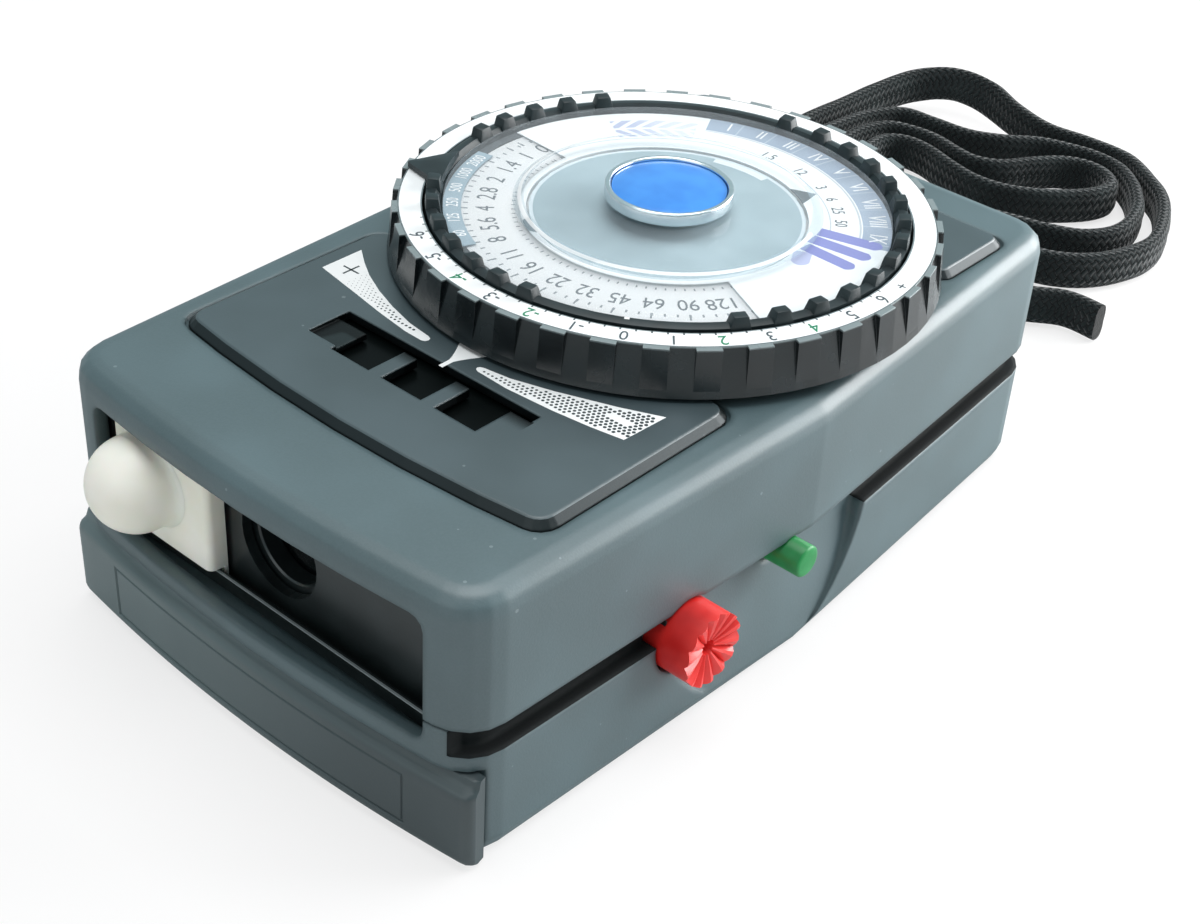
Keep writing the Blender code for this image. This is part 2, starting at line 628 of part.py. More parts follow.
# Upper shell, with seats for the two plates
def plate_plan(extra):
    """Plan of the front plate: bowed toward the sensor, rounded at the back under the dial"""
    half = PLATE_HALF + extra
    shares = (-0.7, -0.35, 0, 0.35, 0.7)
    front = [(s * half, bow(s, PLATE_FRONT_Y - extra, PLATE_BOW, 1)) for s in (-1,) + shares + (1,)]
    corners = front + [(half, PLATE_BACK_Y + extra), (-half, PLATE_BACK_Y + extra)]
    radii = [PLATE_CORNER] + [0] * len(shares) + [PLATE_CORNER] * 3
    return rounded(corners, radii, 4)


def rear_plan(extra):
    """Plan of the rear plate"""
    half = REAR_PLATE_HALF + extra
    corners = [(-half, REAR_PLATE_FRONT_Y - extra), (half, REAR_PLATE_FRONT_Y - extra),
               (half, REAR_PLATE_BACK_Y + extra), (-half, REAR_PLATE_BACK_Y + extra)]
    return rounded(corners, [REAR_PLATE_CORNER] * 4, 4)


def window_plan():
    """The needle window's outline: square cells that open off a strip"""
    strip_y = WINDOW_FAR_Y - WINDOW_STRIP
    middle = (WINDOW_LEFT + WINDOW_RIGHT) / 2
    points = [(WINDOW_RIGHT, WINDOW_FAR_Y), (WINDOW_LEFT, WINDOW_FAR_Y), (WINDOW_LEFT, strip_y)]
    for i in range(WINDOW_CELLS):
        centre = middle + WINDOW_PITCH * (i - (WINDOW_CELLS - 1) / 2) + WINDOW_STRIP / 2
        points += [(centre - WINDOW_CELL / 2, strip_y), (centre - WINDOW_CELL / 2, WINDOW_NEAR_Y),
                   (centre + WINDOW_CELL / 2, WINDOW_NEAR_Y), (centre + WINDOW_CELL / 2, strip_y)]
    return points + [(WINDOW_RIGHT, strip_y)]


PLATE_SEAT_Z = BODY_TOP - PLATE_SUNK - GAP
top_housing = own(soften(prism([housing_plan(0, 0)], SEAM_Z, BODY_TOP), TOP_EDGE, 3, at_height(BODY_TOP)), "top_housing", SHELL)
upper_cavity = own(prism([housing_plan(UPPER_WALL, FRONT_WALL)], SEAM_Z - OVER, BODY_TOP - ROOF), "upper_cavity")
for x, y in SCREWS:
    combine(upper_cavity, "DIFFERENCE", own(rod(BOSS_RADIUS, (x, y, SEAM_Z), BODY_TOP, sides=16), "upper_boss"))
window_box = own(span((WINDOW_LEFT - WINDOW_MARGIN, WINDOW_NEAR_Y - WINDOW_MARGIN, BODY_TOP - ROOF - OVER),
                      (WINDOW_RIGHT + WINDOW_MARGIN, WINDOW_FAR_Y + WINDOW_MARGIN, BODY_TOP + OVER)), "window_box")
combine(top_housing, "DIFFERENCE", upper_cavity, slot_cutter, key_pocket, green_hole,
        own(prism([plate_plan(GAP)], PLATE_SEAT_Z, BODY_TOP + OVER), "plate_seat"),
        own(prism([rear_plan(GAP)], PLATE_SEAT_Z, BODY_TOP + OVER), "rear_seat"), window_box,
        own(rod(BUSH_RADIUS + GAP, (0, DIAL_Y, BODY_TOP - ROOF - OVER), BODY_TOP + OVER, sides=28), "bush_hole"))
for x, y in SCREWS:
    combine(top_housing, "DIFFERENCE", own(rod(SCREW_RADIUS + GAP, (x, y, SEAM_Z - OVER), SCREW_END_Z + GAP, sides=12), "pilot"))

PLATE_LOW, PLATE_TOP = PLATE_SEAT_Z + GAP, BODY_TOP + PLATE_RISE
dial_plate = own(soften(prism([plate_plan(0)], PLATE_LOW, PLATE_TOP), PLATE_EDGE, 1, at_height(PLATE_TOP)), "dial_plate", PLATE)
combine(dial_plate, "DIFFERENCE", own(prism([window_plan()], PLATE_LOW - OVER, PLATE_TOP + OVER), "window_comb"),
        own(span((WINDOW_LEFT, WINDOW_NEAR_Y + POCKET_SHORT, PLATE_TOP - POCKET_DEEP),
                 ((WINDOW_LEFT + WINDOW_RIGHT + WINDOW_STRIP - WINDOW_CELL) / 2 - WINDOW_PITCH, WINDOW_FAR_Y - WINDOW_STRIP / 2, PLATE_TOP + OVER)),
            "window_pocket"))
rear_plate = own(soften(prism([rear_plan(0)], PLATE_LOW, PLATE_TOP), PLATE_EDGE, 1, at_height(PLATE_TOP)), "rear_plate", PLATE)
window_glass = own(span((WINDOW_LEFT - WINDOW_MARGIN + GAP, WINDOW_NEAR_Y - WINDOW_MARGIN + GAP, PLATE_LOW - GAP - GLASS_THICK),
                        (WINDOW_RIGHT + WINDOW_MARGIN - GAP, WINDOW_FAR_Y + WINDOW_MARGIN - GAP, PLATE_LOW - GAP)), "window_glass", CLEAR)

# Front bar
front_bar = own(soften(prism([bar_plan(0)], BAR_LOW, BAR_HIGH), BAR_EDGE, 2,
                       lambda place: place.y < bow(place.x, -FRONT_REACH - BAR_OUT, FRONT_BOW, BAR_HALF) + BAR_THICK / 3),
                "front_bar", SHELL)

# Dark frame behind the slot, with a channel for the diffuser's foot
channel_low, channel_high = RAIL_LOW - RAIL_DEEP, RAIL_HIGH + RAIL_DEEP
lip_y = FRAME_BACK_Y - RAIL_CHANNEL - RAIL_LIP
slot_frame = own(span((-FRAME_HALF, lip_y, channel_low - RAIL_LIP), (FRAME_HALF, FRAME_BACK_Y + FRAME_WALL, channel_high + RAIL_LIP)),
                 "slot_frame", BLACK)
combine(slot_frame, "DIFFERENCE",
        own(span((-SLOT_HALF, lip_y - OVER, RAIL_LOW), (SLOT_HALF, FRAME_BACK_Y, RAIL_HIGH)), "slot_open"),
        own(span((DIFFUSER_LEFT - RUN, FRAME_BACK_Y - RAIL_CHANNEL, channel_low), (SLOT_HALF, FRAME_BACK_Y, channel_high)), "rail_channel"),
        own(rod(SENSOR_HOLE, (0, FRAME_BACK_Y - OVER, SENSOR_Z), FRAME_BACK_Y + FRAME_WALL + OVER, "Y", 32), "sensor_hole"))

# Diffuser: plate with a dome, and a foot that runs in the channel
diffuser_pivot = empty("diffuser_slide", (DOME_X, DIFFUSER_FACE_Y, SENSOR_Z))
foot_back = FRAME_BACK_Y - RUN
foot_front = FRAME_BACK_Y - RAIL_CHANNEL + RUN
diffuser_right = DIFFUSER_LEFT + DIFFUSER_WIDE
diffuser = own(span((DIFFUSER_LEFT, DIFFUSER_FACE_Y, RAIL_LOW + RUN), (diffuser_right, foot_back, RAIL_HIGH - RUN)),
               "diffuser", IVORY, diffuser_pivot)
dome_base = DIFFUSER_FACE_Y - DOME_COLLAR
dome_steps = 6
dome_profile = [(0, -DOME_COLLAR - DOME_RADIUS)] + [
    (DOME_RADIUS * math.sin(math.pi / 2 * k / dome_steps), -DOME_COLLAR - DOME_RADIUS * math.cos(math.pi / 2 * k / dome_steps))
    for k in range(1, dome_steps + 1)] + [(DOME_RADIUS, OVER / 4), (0, OVER / 4)]
combine(diffuser, "UNION",
        own(span((DIFFUSER_LEFT, foot_front, channel_low + RUN), (diffuser_right, foot_back, channel_high - RUN)), "diffuser_foot"),
        own(turned(dome_profile, 24, (DOME_X, DIFFUSER_FACE_Y, (RAIL_LOW + RAIL_HIGH) / 2 + DOME_RISE), "Y"), "diffuser_dome"))

# Sensor: a stepped tube that holds the lens and the photocell
tube_front = FRAME_BACK_Y + FRAME_WALL + GAP
lens_seat = TUBE_BORE + GAP * 2
sensor_tube = own(turned([(TUBE_BORE, 0), (TUBE_BORE, TUBE_STEP), (lens_seat, TUBE_STEP), (lens_seat, TUBE_LONG),
                          (TUBE_RADIUS, TUBE_LONG), (TUBE_RADIUS, 0)], 32, (0, tube_front, SENSOR_Z), "Y"), "sensor_tube", BLACK)
lens_front = tube_front + TUBE_STEP + GAP
sensor_lens = own(rod(lens_seat - GAP, (0, lens_front, SENSOR_Z), lens_front + LENS_THICK, "Y", 32), "sensor_lens", CLEAR)
cell_front = lens_front + LENS_THICK + GAP
photocell = own(rod(lens_seat - GAP, (0, cell_front, SENSOR_Z), cell_front + CELL_THICK, "Y", 24), "photocell", STEEL)

# Outer ring of the dial: pads and facets round its rim, and a tapered notch at each pitch
outer_dial = empty("outer_dial", (0, DIAL_Y, RING_LOW))
pitch = FULL_TURN / TEETH


def ring_outline(radius):
    """Rim of the ring: each pitch has one raised pad and one facet"""
    points = []
    for i in range(TEETH):
        for share, drop in ((0.06, 0), (0.52, 0), (0.56, PAD_STEP), (0.94, PAD_STEP)):
            turn = pitch * (i + share)
            points.append(((radius - drop) * math.cos(turn), DIAL_Y + (radius - drop) * math.sin(turn)))
    return points


bm = bmesh.new()
bm.from_mesh(prism([ring_outline(RING_RADIUS), circle(RING_INNER, TEETH * 2, (0, DIAL_Y))], RING_LOW, RING_HIGH))
for vert in bm.verts:
    away = Vector((vert.co.x, vert.co.y - DIAL_Y))
    if vert.co.z < (RING_LOW + RING_HIGH) / 2 and away.length > (RING_INNER + RING_RADIUS) / 2:
        vert.co.xy += away.normalized() * RING_FLARE
outer_ring = own(mesh_of(bm), "outer_ring", BLACK, outer_dial)
web_top = WEB_LOW + WEB_THICK
web_profile = [(SHAFT_RADIUS + GAP, web_top), (RING_INNER + PAD_STEP, web_top), (RING_INNER + PAD_STEP, WEB_LOW),
               (SHAFT_RADIUS * 2, WEB_LOW), (SHAFT_RADIUS * 2, WEB_BOSS_LOW), (SHAFT_RADIUS + GAP, WEB_BOSS_LOW)]
combine(outer_ring, "UNION", own(turned(web_profile, TEETH, (0, DIAL_Y, 0)), "ring_web"))
bm = bmesh.new()
for i in range(TEETH):
    made = bmesh.ops.create_cone(bm, cap_ends=True, segments=3, radius1=0, radius2=NOTCH_WIDE / math.sqrt(3), depth=1)["verts"]
    tall = (RING_HIGH - RING_LOW) * NOTCH_SHARE
    for vert in made:
        vert.co.z = RING_HIGH + OVER / 4 if vert.co.z > 0 else RING_HIGH - tall
    bmesh.ops.scale(bm, verts=made, vec=(NOTCH_DEEP / NOTCH_WIDE * 2, 1, 1))
    bmesh.ops.translate(bm, verts=made, vec=(RING_RADIUS, 0, 0))
    bmesh.ops.rotate(bm, verts=made, cent=(0, 0, 0), matrix=Matrix.Rotation(pitch * i, 3, "Z"))
    bmesh.ops.translate(bm, verts=made, vec=(0, DIAL_Y, 0))
bmesh.ops.remove_doubles(bm, verts=bm.verts, dist=GAP / 30)
bmesh.ops.recalc_face_normals(bm, faces=bm.faces)
combine(outer_ring, "DIFFERENCE", own(mesh_of(bm), "notches"),
        own(turned([(RING_INNER - OVER, RING_HIGH + OVER), (OUTER_SCALE_RADIUS + GAP, RING_HIGH + OVER),
                    (OUTER_SCALE_RADIUS + GAP, RING_HIGH - SCALE_SEAT), (RING_INNER - OVER, RING_HIGH - SCALE_SEAT)],
                   TEETH * 2, (0, DIAL_Y, 0)), "scale_seat"))

scale_low = RING_HIGH - SCALE_SEAT + GAP
outer_scale = own(prism([circle(OUTER_SCALE_RADIUS, TEETH * 2, (0, DIAL_Y)), circle(RING_INNER, TEETH * 2, (0, DIAL_Y))],
                        scale_low, scale_low + SCALE_THICK), "outer_scale", WHITE, outer_dial)
disc_low = web_top + GAP
scale_disc = own(prism([circle(SCALE_DISC_RADIUS, TEETH * 2, (0, DIAL_Y)), circle(SHAFT_RADIUS + GAP, 24, (0, DIAL_Y))],
                       disc_low, disc_low + DISC_THICK), "scale_disc", WHITE, outer_dial)

# Lug ring: a lipped ring, its crown of lugs and one long pointer
inner_dial = empty("inner_dial", (0, DIAL_Y, LUG_RING_LOW))
lip_top = LUG_RING_LOW + DISC_THICK
lug_ring = own(turned([(LUG_INNER, LUG_RING_HIGH), (LUG_OUTER, LUG_RING_HIGH), (LUG_OUTER, LUG_RING_LOW), (LUG_LIP, LUG_RING_LOW),
                       (LUG_LIP, lip_top), (LUG_INNER, lip_top)], TEETH * 2, (0, DIAL_Y, 0)), "lug_ring", BLACK, inner_dial)
bm = bmesh.new()
for angle in LUG_ANGLES:
    made = bmesh.ops.create_cube(bm, size=1)["verts"]
    for vert in made:
        crown = LUG_TOP_SHARE if vert.co.z > 0 else 1
        vert.co = ((LUG_INNER + LUG_OUTER) / 2 + vert.co.x * (LUG_OUTER - LUG_INNER) * 0.98, vert.co.y * LUG_WIDE * crown,
                   LUG_TOP if vert.co.z > 0 else (LUG_RING_HIGH + lip_top) / 2)
    bmesh.ops.rotate(bm, verts=made, cent=(0, 0, 0), matrix=Matrix.Rotation(math.radians(angle), 3, "Z"))
    bmesh.ops.translate(bm, verts=made, vec=(0, DIAL_Y, 0))
lugs = own(mesh_of(bm), "lugs")
tip = math.radians(POINTER_ANGLE)
foot = LUG_INNER * 1.01
pointer = own(prism([[(foot * math.cos(tip + POINTER_HALF_SHARE), DIAL_Y + foot * math.sin(tip + POINTER_HALF_SHARE)),
                      (foot * math.cos(tip - POINTER_HALF_SHARE), DIAL_Y + foot * math.sin(tip - POINTER_HALF_SHARE)),
                      (POINTER_TIP * math.cos(tip), DIAL_Y + POINTER_TIP * math.sin(tip))]],
                    RING_HIGH + GAP, LUG_TOP), "pointer")
combine(lug_ring, "UNION", lugs, pointer)

clear_low = lip_top + GAP
clear_top = clear_low + CLEAR_THICK
clear_hole = SHAFT_RADIUS + GAP
clear_disc = own(turned([(clear_hole, clear_top + CLEAR_STEP), (CLEAR_STEP_RADIUS - CLEAR_STEP, clear_top + CLEAR_STEP),
                         (CLEAR_STEP_RADIUS, clear_top), (CLEAR_RADIUS, clear_top), (CLEAR_RADIUS, clear_low), (clear_hole, clear_low)],
                        TEETH * 2, (0, DIAL_Y, 0)), "clear_disc", CLEAR, inner_dial)
centre_low = disc_low + DISC_THICK + GAP
centre_disc = own(prism([circle(CENTRE_DISC_RADIUS, TEETH, (0, DIAL_Y)), circle(clear_hole, 24, (0, DIAL_Y))],
                        centre_low, clear_low - GAP), "centre_disc", GREY, inner_dial)
hub_low = clear_top + CLEAR_STEP + GAP
hub_bezel = own(turned([(0, hub_low + HUB_FLOOR), (HUB_RADIUS - HUB_RIM, hub_low + HUB_FLOOR), (HUB_RADIUS - HUB_RIM, hub_low + HUB_TALL),
                        (HUB_RADIUS - HUB_RIM / 2, hub_low + HUB_TALL), (HUB_RADIUS, hub_low + HUB_TALL - HUB_RIM / 2),
                        (HUB_RADIUS, hub_low), (0, hub_low)], TEETH, (0, DIAL_Y, 0)), "hub_bezel", STEEL, inner_dial)
hub_badge = own(rod(HUB_RADIUS - HUB_RIM - GAP, (0, DIAL_Y, hub_low + HUB_FLOOR + GAP), hub_low + HUB_TALL - GAP, sides=TEETH),
                "hub_badge", BLUE, inner_dial)

# Potentiometer that the outer ring turns: its bush comes up through the roof and a nut holds it
pot_top = BODY_TOP - ROOF - GAP
pot_low = pot_top - POT_TALL
pot_body = own(turned([(SHAFT_RADIUS + GAP, BUSH_TOP), (BUSH_RADIUS, BUSH_TOP), (BUSH_RADIUS, pot_top), (POT_RADIUS, pot_top),
                       (POT_RADIUS, pot_low), (0, pot_low), (0, pot_low + POT_FLOOR), (SHAFT_RADIUS + GAP, pot_low + POT_FLOOR)],
                      28, (0, DIAL_Y, 0)), "pot_body", STEEL)
shaft_low = pot_low + POT_FLOOR + GAP
dial_shaft = own(rod(SHAFT_RADIUS, (0, DIAL_Y, shaft_low), hub_low - GAP, sides=28), "dial_shaft", BRASS, outer_dial)
nut_low = BODY_TOP + GAP
pot_nut = own(prism([circle(NUT_ACROSS, 6, (0, DIAL_Y)), circle(BUSH_RADIUS + GAP, 24, (0, DIAL_Y))], nut_low, nut_low + NUT_TALL),
              "pot_nut", BRASS)

# Red key: a stem with a collar, and a head that turns on it
red_slide = empty("red_key_slide", (KEY_BOTTOM_X, KEY_Y, KEY_Z))
key_back_x = KEY_FACE_X - KEY_LONG
sleeve_x = KEY_BOTTOM_X - KEY_SLEEVE
stem_end_x = key_back_x + STEM_IN
stem_start_x = sleeve_x - KEY_SLEEVE * 2
red_stem = own(rod(STEM_RADIUS, (stem_start_x, KEY_Y, KEY_Z), stem_end_x, "X", 16), "red_stem", STEEL, red_slide)
combine(red_stem, "UNION", own(rod(STEM_RADIUS + COLLAR, (sleeve_x - GAP - COLLAR, KEY_Y, KEY_Z), sleeve_x - GAP, "X", 16), "stem_collar"))
bm = bmesh.new()
bmesh.ops.create_cone(bm, cap_ends=True, segments=KEY_FLUTES * 2, radius1=KEY_RADIUS, radius2=KEY_RADIUS, depth=KEY_LONG)
face = [f for f in bm.faces if f.normal.z > 0.9]
inner = bmesh.ops.inset_region(bm, faces=face, thickness=KEY_RADIUS - KEY_HOLLOW, use_even_offset=True)
for vert in bm.verts:
    turn = math.atan2(vert.co.y, vert.co.x)
    step = round(turn / (FULL_TURN / KEY_FLUTES / 2)) % 2
    if vert.co.z > 0 and vert.co.xy.length > KEY_RADIUS / 2 and step:
        vert.co.z -= KEY_FLUTE_DEEP
        vert.co.xy = Matrix.Rotation(FULL_TURN / KEY_FLUTES * 0.32, 2) @ vert.co.xy
    elif vert.co.z > 0 and vert.co.xy.length < KEY_RADIUS / 2:
        vert.co.z -= KEY_HOLLOW_DEEP + (KEY_FLUTE_DEEP * 0.3 if step else 0)
bmesh.ops.triangulate(bm, faces=bm.faces)
turn_to(bm, "X")
bmesh.ops.recalc_face_normals(bm, faces=bm.faces)
bmesh.ops.translate(bm, verts=bm.verts, vec=(key_back_x + KEY_LONG / 2, KEY_Y, KEY_Z))
red_key = own(mesh_of(bm), "red_key", RED, red_slide)
combine(red_key, "DIFFERENCE", own(rod(STEM_RADIUS + GAP, (key_back_x - OVER, KEY_Y, KEY_Z), stem_end_x + GAP, "X", 16), "key_bore"))

# Green key: one pin with a collar inside the wall
green_slide = empty("green_key_slide", (GREEN_COLLAR_X, GREEN_Y, GREEN_Z))
green_key = own(rod(GREEN_RADIUS, (GREEN_COLLAR_X, GREEN_Y, GREEN_Z), GREEN_FACE_X, "X", 20), "green_key", GREEN, green_slide)
pin_end_x = GREEN_COLLAR_X - GREEN_PIN_LONG
combine(green_key, "UNION",
        own(rod(GREEN_RADIUS + COLLAR * 0.8, (GREEN_COLLAR_X - COLLAR, GREEN_Y, GREEN_Z), GREEN_COLLAR_X + GAP, "X", 20), "green_collar"),
        own(rod(GREEN_PIN, (pin_end_x, GREEN_Y, GREEN_Z), GREEN_COLLAR_X + GAP, "X", 12), "green_pin"))


def coil_spring(name, start_x, end_x, radius, place, parent):
    """A compression spring along X"""
    curve = bpy.data.curves.new(name, "CURVE")
    curve.dimensions, curve.bevel_depth, curve.bevel_resolution, curve.use_fill_caps = "3D", SPRING_WIRE, 0, True
    spline = curve.splines.new("POLY")
    count = SPRING_TURNS * 8
    spline.points.add(count)
    low, high = start_x + SPRING_WIRE, end_x - SPRING_WIRE
    for i in range(count + 1):
        turn = FULL_TURN * i / 8
        spline.points[i].co = (low + (high - low) * i / count, place[0] + radius * math.cos(turn), place[1] + radius * math.sin(turn), 1)
    made = bpy.data.objects.new(name, curve)
    curve.materials.append(STEEL)
    MODEL.objects.link(made)
    made.parent = parent
    made.matrix_parent_inverse = Matrix.Translation(-parent.location)
    return made


SPRING_OUT = STEM_RADIUS + RUN + SPRING_WIRE * 2
red_spring = coil_spring("red_spring", KEY_BOTTOM_X + GAP, key_back_x - GAP, SPRING_OUT, (KEY_Y, KEY_Z), red_slide)
switch_x = pin_end_x + GREEN_PIN_LONG * 0.4
green_spring = coil_spring("green_spring", switch_x + GAP, GREEN_COLLAR_X - COLLAR - GAP, GREEN_PIN + RUN + SPRING_WIRE * 2,
                           (GREEN_Y, GREEN_Z), green_slide)

# Circuit board on its four posts, with the parts that stand on it
board_top = BOARD_Z + BOARD_THICK
stand_z = board_top + GAP
circuit_board = own(span((-BOARD_HALF, BOARD_FRONT_Y, BOARD_Z), (BOARD_HALF, BOARD_BACK_Y, board_top)), "circuit_board", BOARD)
red_switch = own(span((stem_start_x - KEY_TRAVEL - GAP - SWITCH_WIDE, KEY_Y - SWITCH_WIDE / 2, stand_z),
                      (stem_start_x - KEY_TRAVEL - GAP, KEY_Y + SWITCH_WIDE / 2, stand_z + SWITCH_TALL)), "red_switch", BLACK)
green_switch = own(span((switch_x - SWITCH_WIDE, GREEN_Y - SWITCH_WIDE / 2, stand_z), (switch_x, GREEN_Y + SWITCH_WIDE / 2, stand_z + SWITCH_TALL * 1.1)),
                   "green_switch", BLACK)
combine(green_switch, "DIFFERENCE", own(rod(GREEN_PIN + RUN, (pin_end_x - GREEN_TRAVEL - RUN, GREEN_Y, GREEN_Z), switch_x + OVER, "X", 12), "pin_hole"))
capacitor = own(rod(CAPACITOR_RADIUS, (-BOARD_HALF * 0.72, BOARD_FRONT_Y * 0.72, stand_z), stand_z + CAPACITOR_TALL, sides=20), "capacitor", STEEL)
amplifier_chip = own(block(CHIP, (BOARD_HALF * 0.1, BOARD_FRONT_Y * 0.85, stand_z + CHIP[2] / 2)), "amplifier_chip", BLACK)
trimmer = own(rod(TRIMMER_RADIUS, (-BOARD_HALF * 0.7, BOARD_BACK_Y * 0.3, stand_z), stand_z + TRIMMER_TALL, sides=20), "trimmer", GREY)
combine(trimmer, "DIFFERENCE", own(block((TRIMMER_RADIUS, SLOT_WIDE, SLOT_DEEP * 2), (-BOARD_HALF * 0.7, BOARD_BACK_Y * 0.3, stand_z + TRIMMER_TALL)), "trimmer_slot"))

# Meter movement: case, fixed core, and a coil with a needle that swings round the core
needle_pivot = empty("meter_needle_pivot", (0, METER_Y, CORE_LOW))
case_inner = METER_RADIUS - METER_WALL
core_seat = CORE_LOW - COIL_GAP * 2 - COIL_THICK - ARBOR * 2
meter_case = own(turned([(0, core_seat), (case_inner, core_seat), (case_inner, METER_TOP), (METER_RADIUS, METER_TOP), (METER_RADIUS, stand_z),
                         (0, stand_z)], 32, (0, METER_Y, 0)), "meter_case", STEEL)
meter_core = own(rod(CORE_RADIUS, (0, METER_Y, CORE_LOW), CORE_HIGH, sides=24), "meter_core", STEEL)
coil_half = CORE_RADIUS + COIL_GAP
coil_low, coil_high = CORE_LOW - COIL_GAP, CORE_HIGH + COIL_GAP
meter_coil = own(prism([[(-coil_half - COIL_THICK, coil_low - COIL_THICK), (coil_half + COIL_THICK, coil_low - COIL_THICK),
                         (coil_half + COIL_THICK, coil_high + COIL_THICK), (-coil_half - COIL_THICK, coil_high + COIL_THICK)],
                        [(-coil_half, coil_low), (coil_half, coil_low), (coil_half, coil_high), (-coil_half, coil_high)]],
                       METER_Y - COIL_DEEP / 2, METER_Y + COIL_DEEP / 2, "Y"), "meter_coil", BRASS, needle_pivot)
needle_top = NEEDLE_Z + NEEDLE_TALL
combine(meter_coil, "UNION",
        own(rod(ARBOR, (0, METER_Y, core_seat + GAP), coil_low - COIL_THICK / 2, sides=10), "lower_arbor"),
        own(rod(ARBOR, (0, METER_Y, coil_high + COIL_THICK / 2), needle_top + ARBOR, sides=10), "upper_arbor"))
needle = own(prism([[(-NEEDLE_WIDE, METER_Y + NEEDLE_TAIL), (-NEEDLE_WIDE / 4, METER_Y - NEEDLE_LONG), (NEEDLE_WIDE / 4, METER_Y - NEEDLE_LONG),
                     (NEEDLE_WIDE, METER_Y + NEEDLE_TAIL)]], NEEDLE_Z, needle_top), "meter_needle", WHITE, needle_pivot)
combine(needle, "UNION", own(rod(NEEDLE_HUB, (0, METER_Y, NEEDLE_Z), needle_top, sides=16), "needle_hub"))
combine(needle, "DIFFERENCE", own(rod(ARBOR + GAP, (0, METER_Y, NEEDLE_Z - OVER), needle_top + OVER, sides=12), "needle_bore"))
bridge_z = METER_TOP + GAP
meter_bridge = own(span((-METER_RADIUS, METER_Y - BRIDGE_WIDE / 2, bridge_z), (METER_RADIUS, METER_Y + BRIDGE_WIDE / 2, bridge_z + BRIDGE_THICK)),
                   "meter_bridge", BRASS)
combine(meter_bridge, "DIFFERENCE", own(rod(ARBOR + GAP, (0, METER_Y, bridge_z - OVER), bridge_z + OVER, sides=12), "bridge_hole"))
needle_scale = own(span((-NEEDLE_PLATE_HALF, NEEDLE_PLATE_FRONT_Y, bridge_z), (NEEDLE_PLATE_HALF, NEEDLE_PLATE_BACK_Y, bridge_z + BRIDGE_THICK)),
                   "needle_scale", BLACK)

# Battery, its snap and the sliding cover
battery_z = FLOOR + GAP
battery = own(soften(block((BATTERY_LONG, BATTERY_WIDE, BATTERY_TALL), (BATTERY_X, BATTERY_Y, battery_z + BATTERY_TALL / 2)), COVER_THICK, 2,
                     lambda place: True), "battery", STEEL)
battery_end = BATTERY_X + BATTERY_LONG / 2
for sign in (-1, 1):
    combine(battery, "UNION", own(rod(TERMINAL_RADIUS, (battery_end - OVER, BATTERY_Y + sign * TERMINAL_PITCH / 2, battery_z + BATTERY_TALL / 2),
                                      battery_end + TERMINAL_LONG, "X", 16), "terminal"))
snap_x = battery_end + TERMINAL_LONG + GAP
battery_snap = own(block((SNAP_THICK, BATTERY_WIDE * 0.9, BATTERY_TALL * 0.55),
                         (snap_x + SNAP_THICK / 2, BATTERY_Y, battery_z + BATTERY_TALL / 2)), "battery_snap", BLACK)
cover_slide_pivot = empty("battery_cover_slide", (0, COVER_FRONT_Y, COVER_LIFT))
cover_back_y = BACK_REACH - COVER_BACK_SHORT
cover_high = COVER_LIFT + COVER_THICK
battery_cover = own(soften(span((-COVER_HALF, COVER_FRONT_Y, COVER_LIFT), (COVER_HALF, cover_back_y, cover_high)), COVER_THICK * 0.8, 2,
                           lambda place: place.y > cover_back_y - GAP and place.z < cover_high - GAP), "battery_cover", SHELL, cover_slide_pivot)
combine(battery_cover, "UNION", own(span((-COVER_HALF - COVER_TONGUE, COVER_FRONT_Y, cover_high - COVER_TONGUE_THICK),
                                         (COVER_HALF + COVER_TONGUE, REAR_PLATE_BACK_Y, cover_high)), "cover_tongues"))
for i in range(GRIPS):
    grip_y = (COVER_FRONT_Y + cover_back_y) / 2 + GRIP_PITCH * i
    combine(battery_cover, "DIFFERENCE", own(block((COVER_HALF * 0.7, GRIP_WIDE, GRIP_DEEP * 2), (0, grip_y, COVER_LIFT)), "grip"))

# Housing screws
for i, (x, y) in enumerate(SCREWS):
    head_top = SCREW_SUNK + SCREW_HEAD_TALL
    screw = own(turned([(0, SCREW_END_Z), (SCREW_RADIUS, SCREW_END_Z), (SCREW_RADIUS, head_top), (SCREW_HEAD_RADIUS, head_top),
                        (SCREW_HEAD_RADIUS, SCREW_SUNK), (0, SCREW_SUNK)], 16, (x, y, 0)), "housing_screw_%d" % (i + 1), STEEL)
    combine(screw, "DIFFERENCE", own(block((SCREW_HEAD_RADIUS * 3, SLOT_WIDE, SLOT_DEEP * 2), (x, y, SCREW_SUNK)), "screw_slot"))

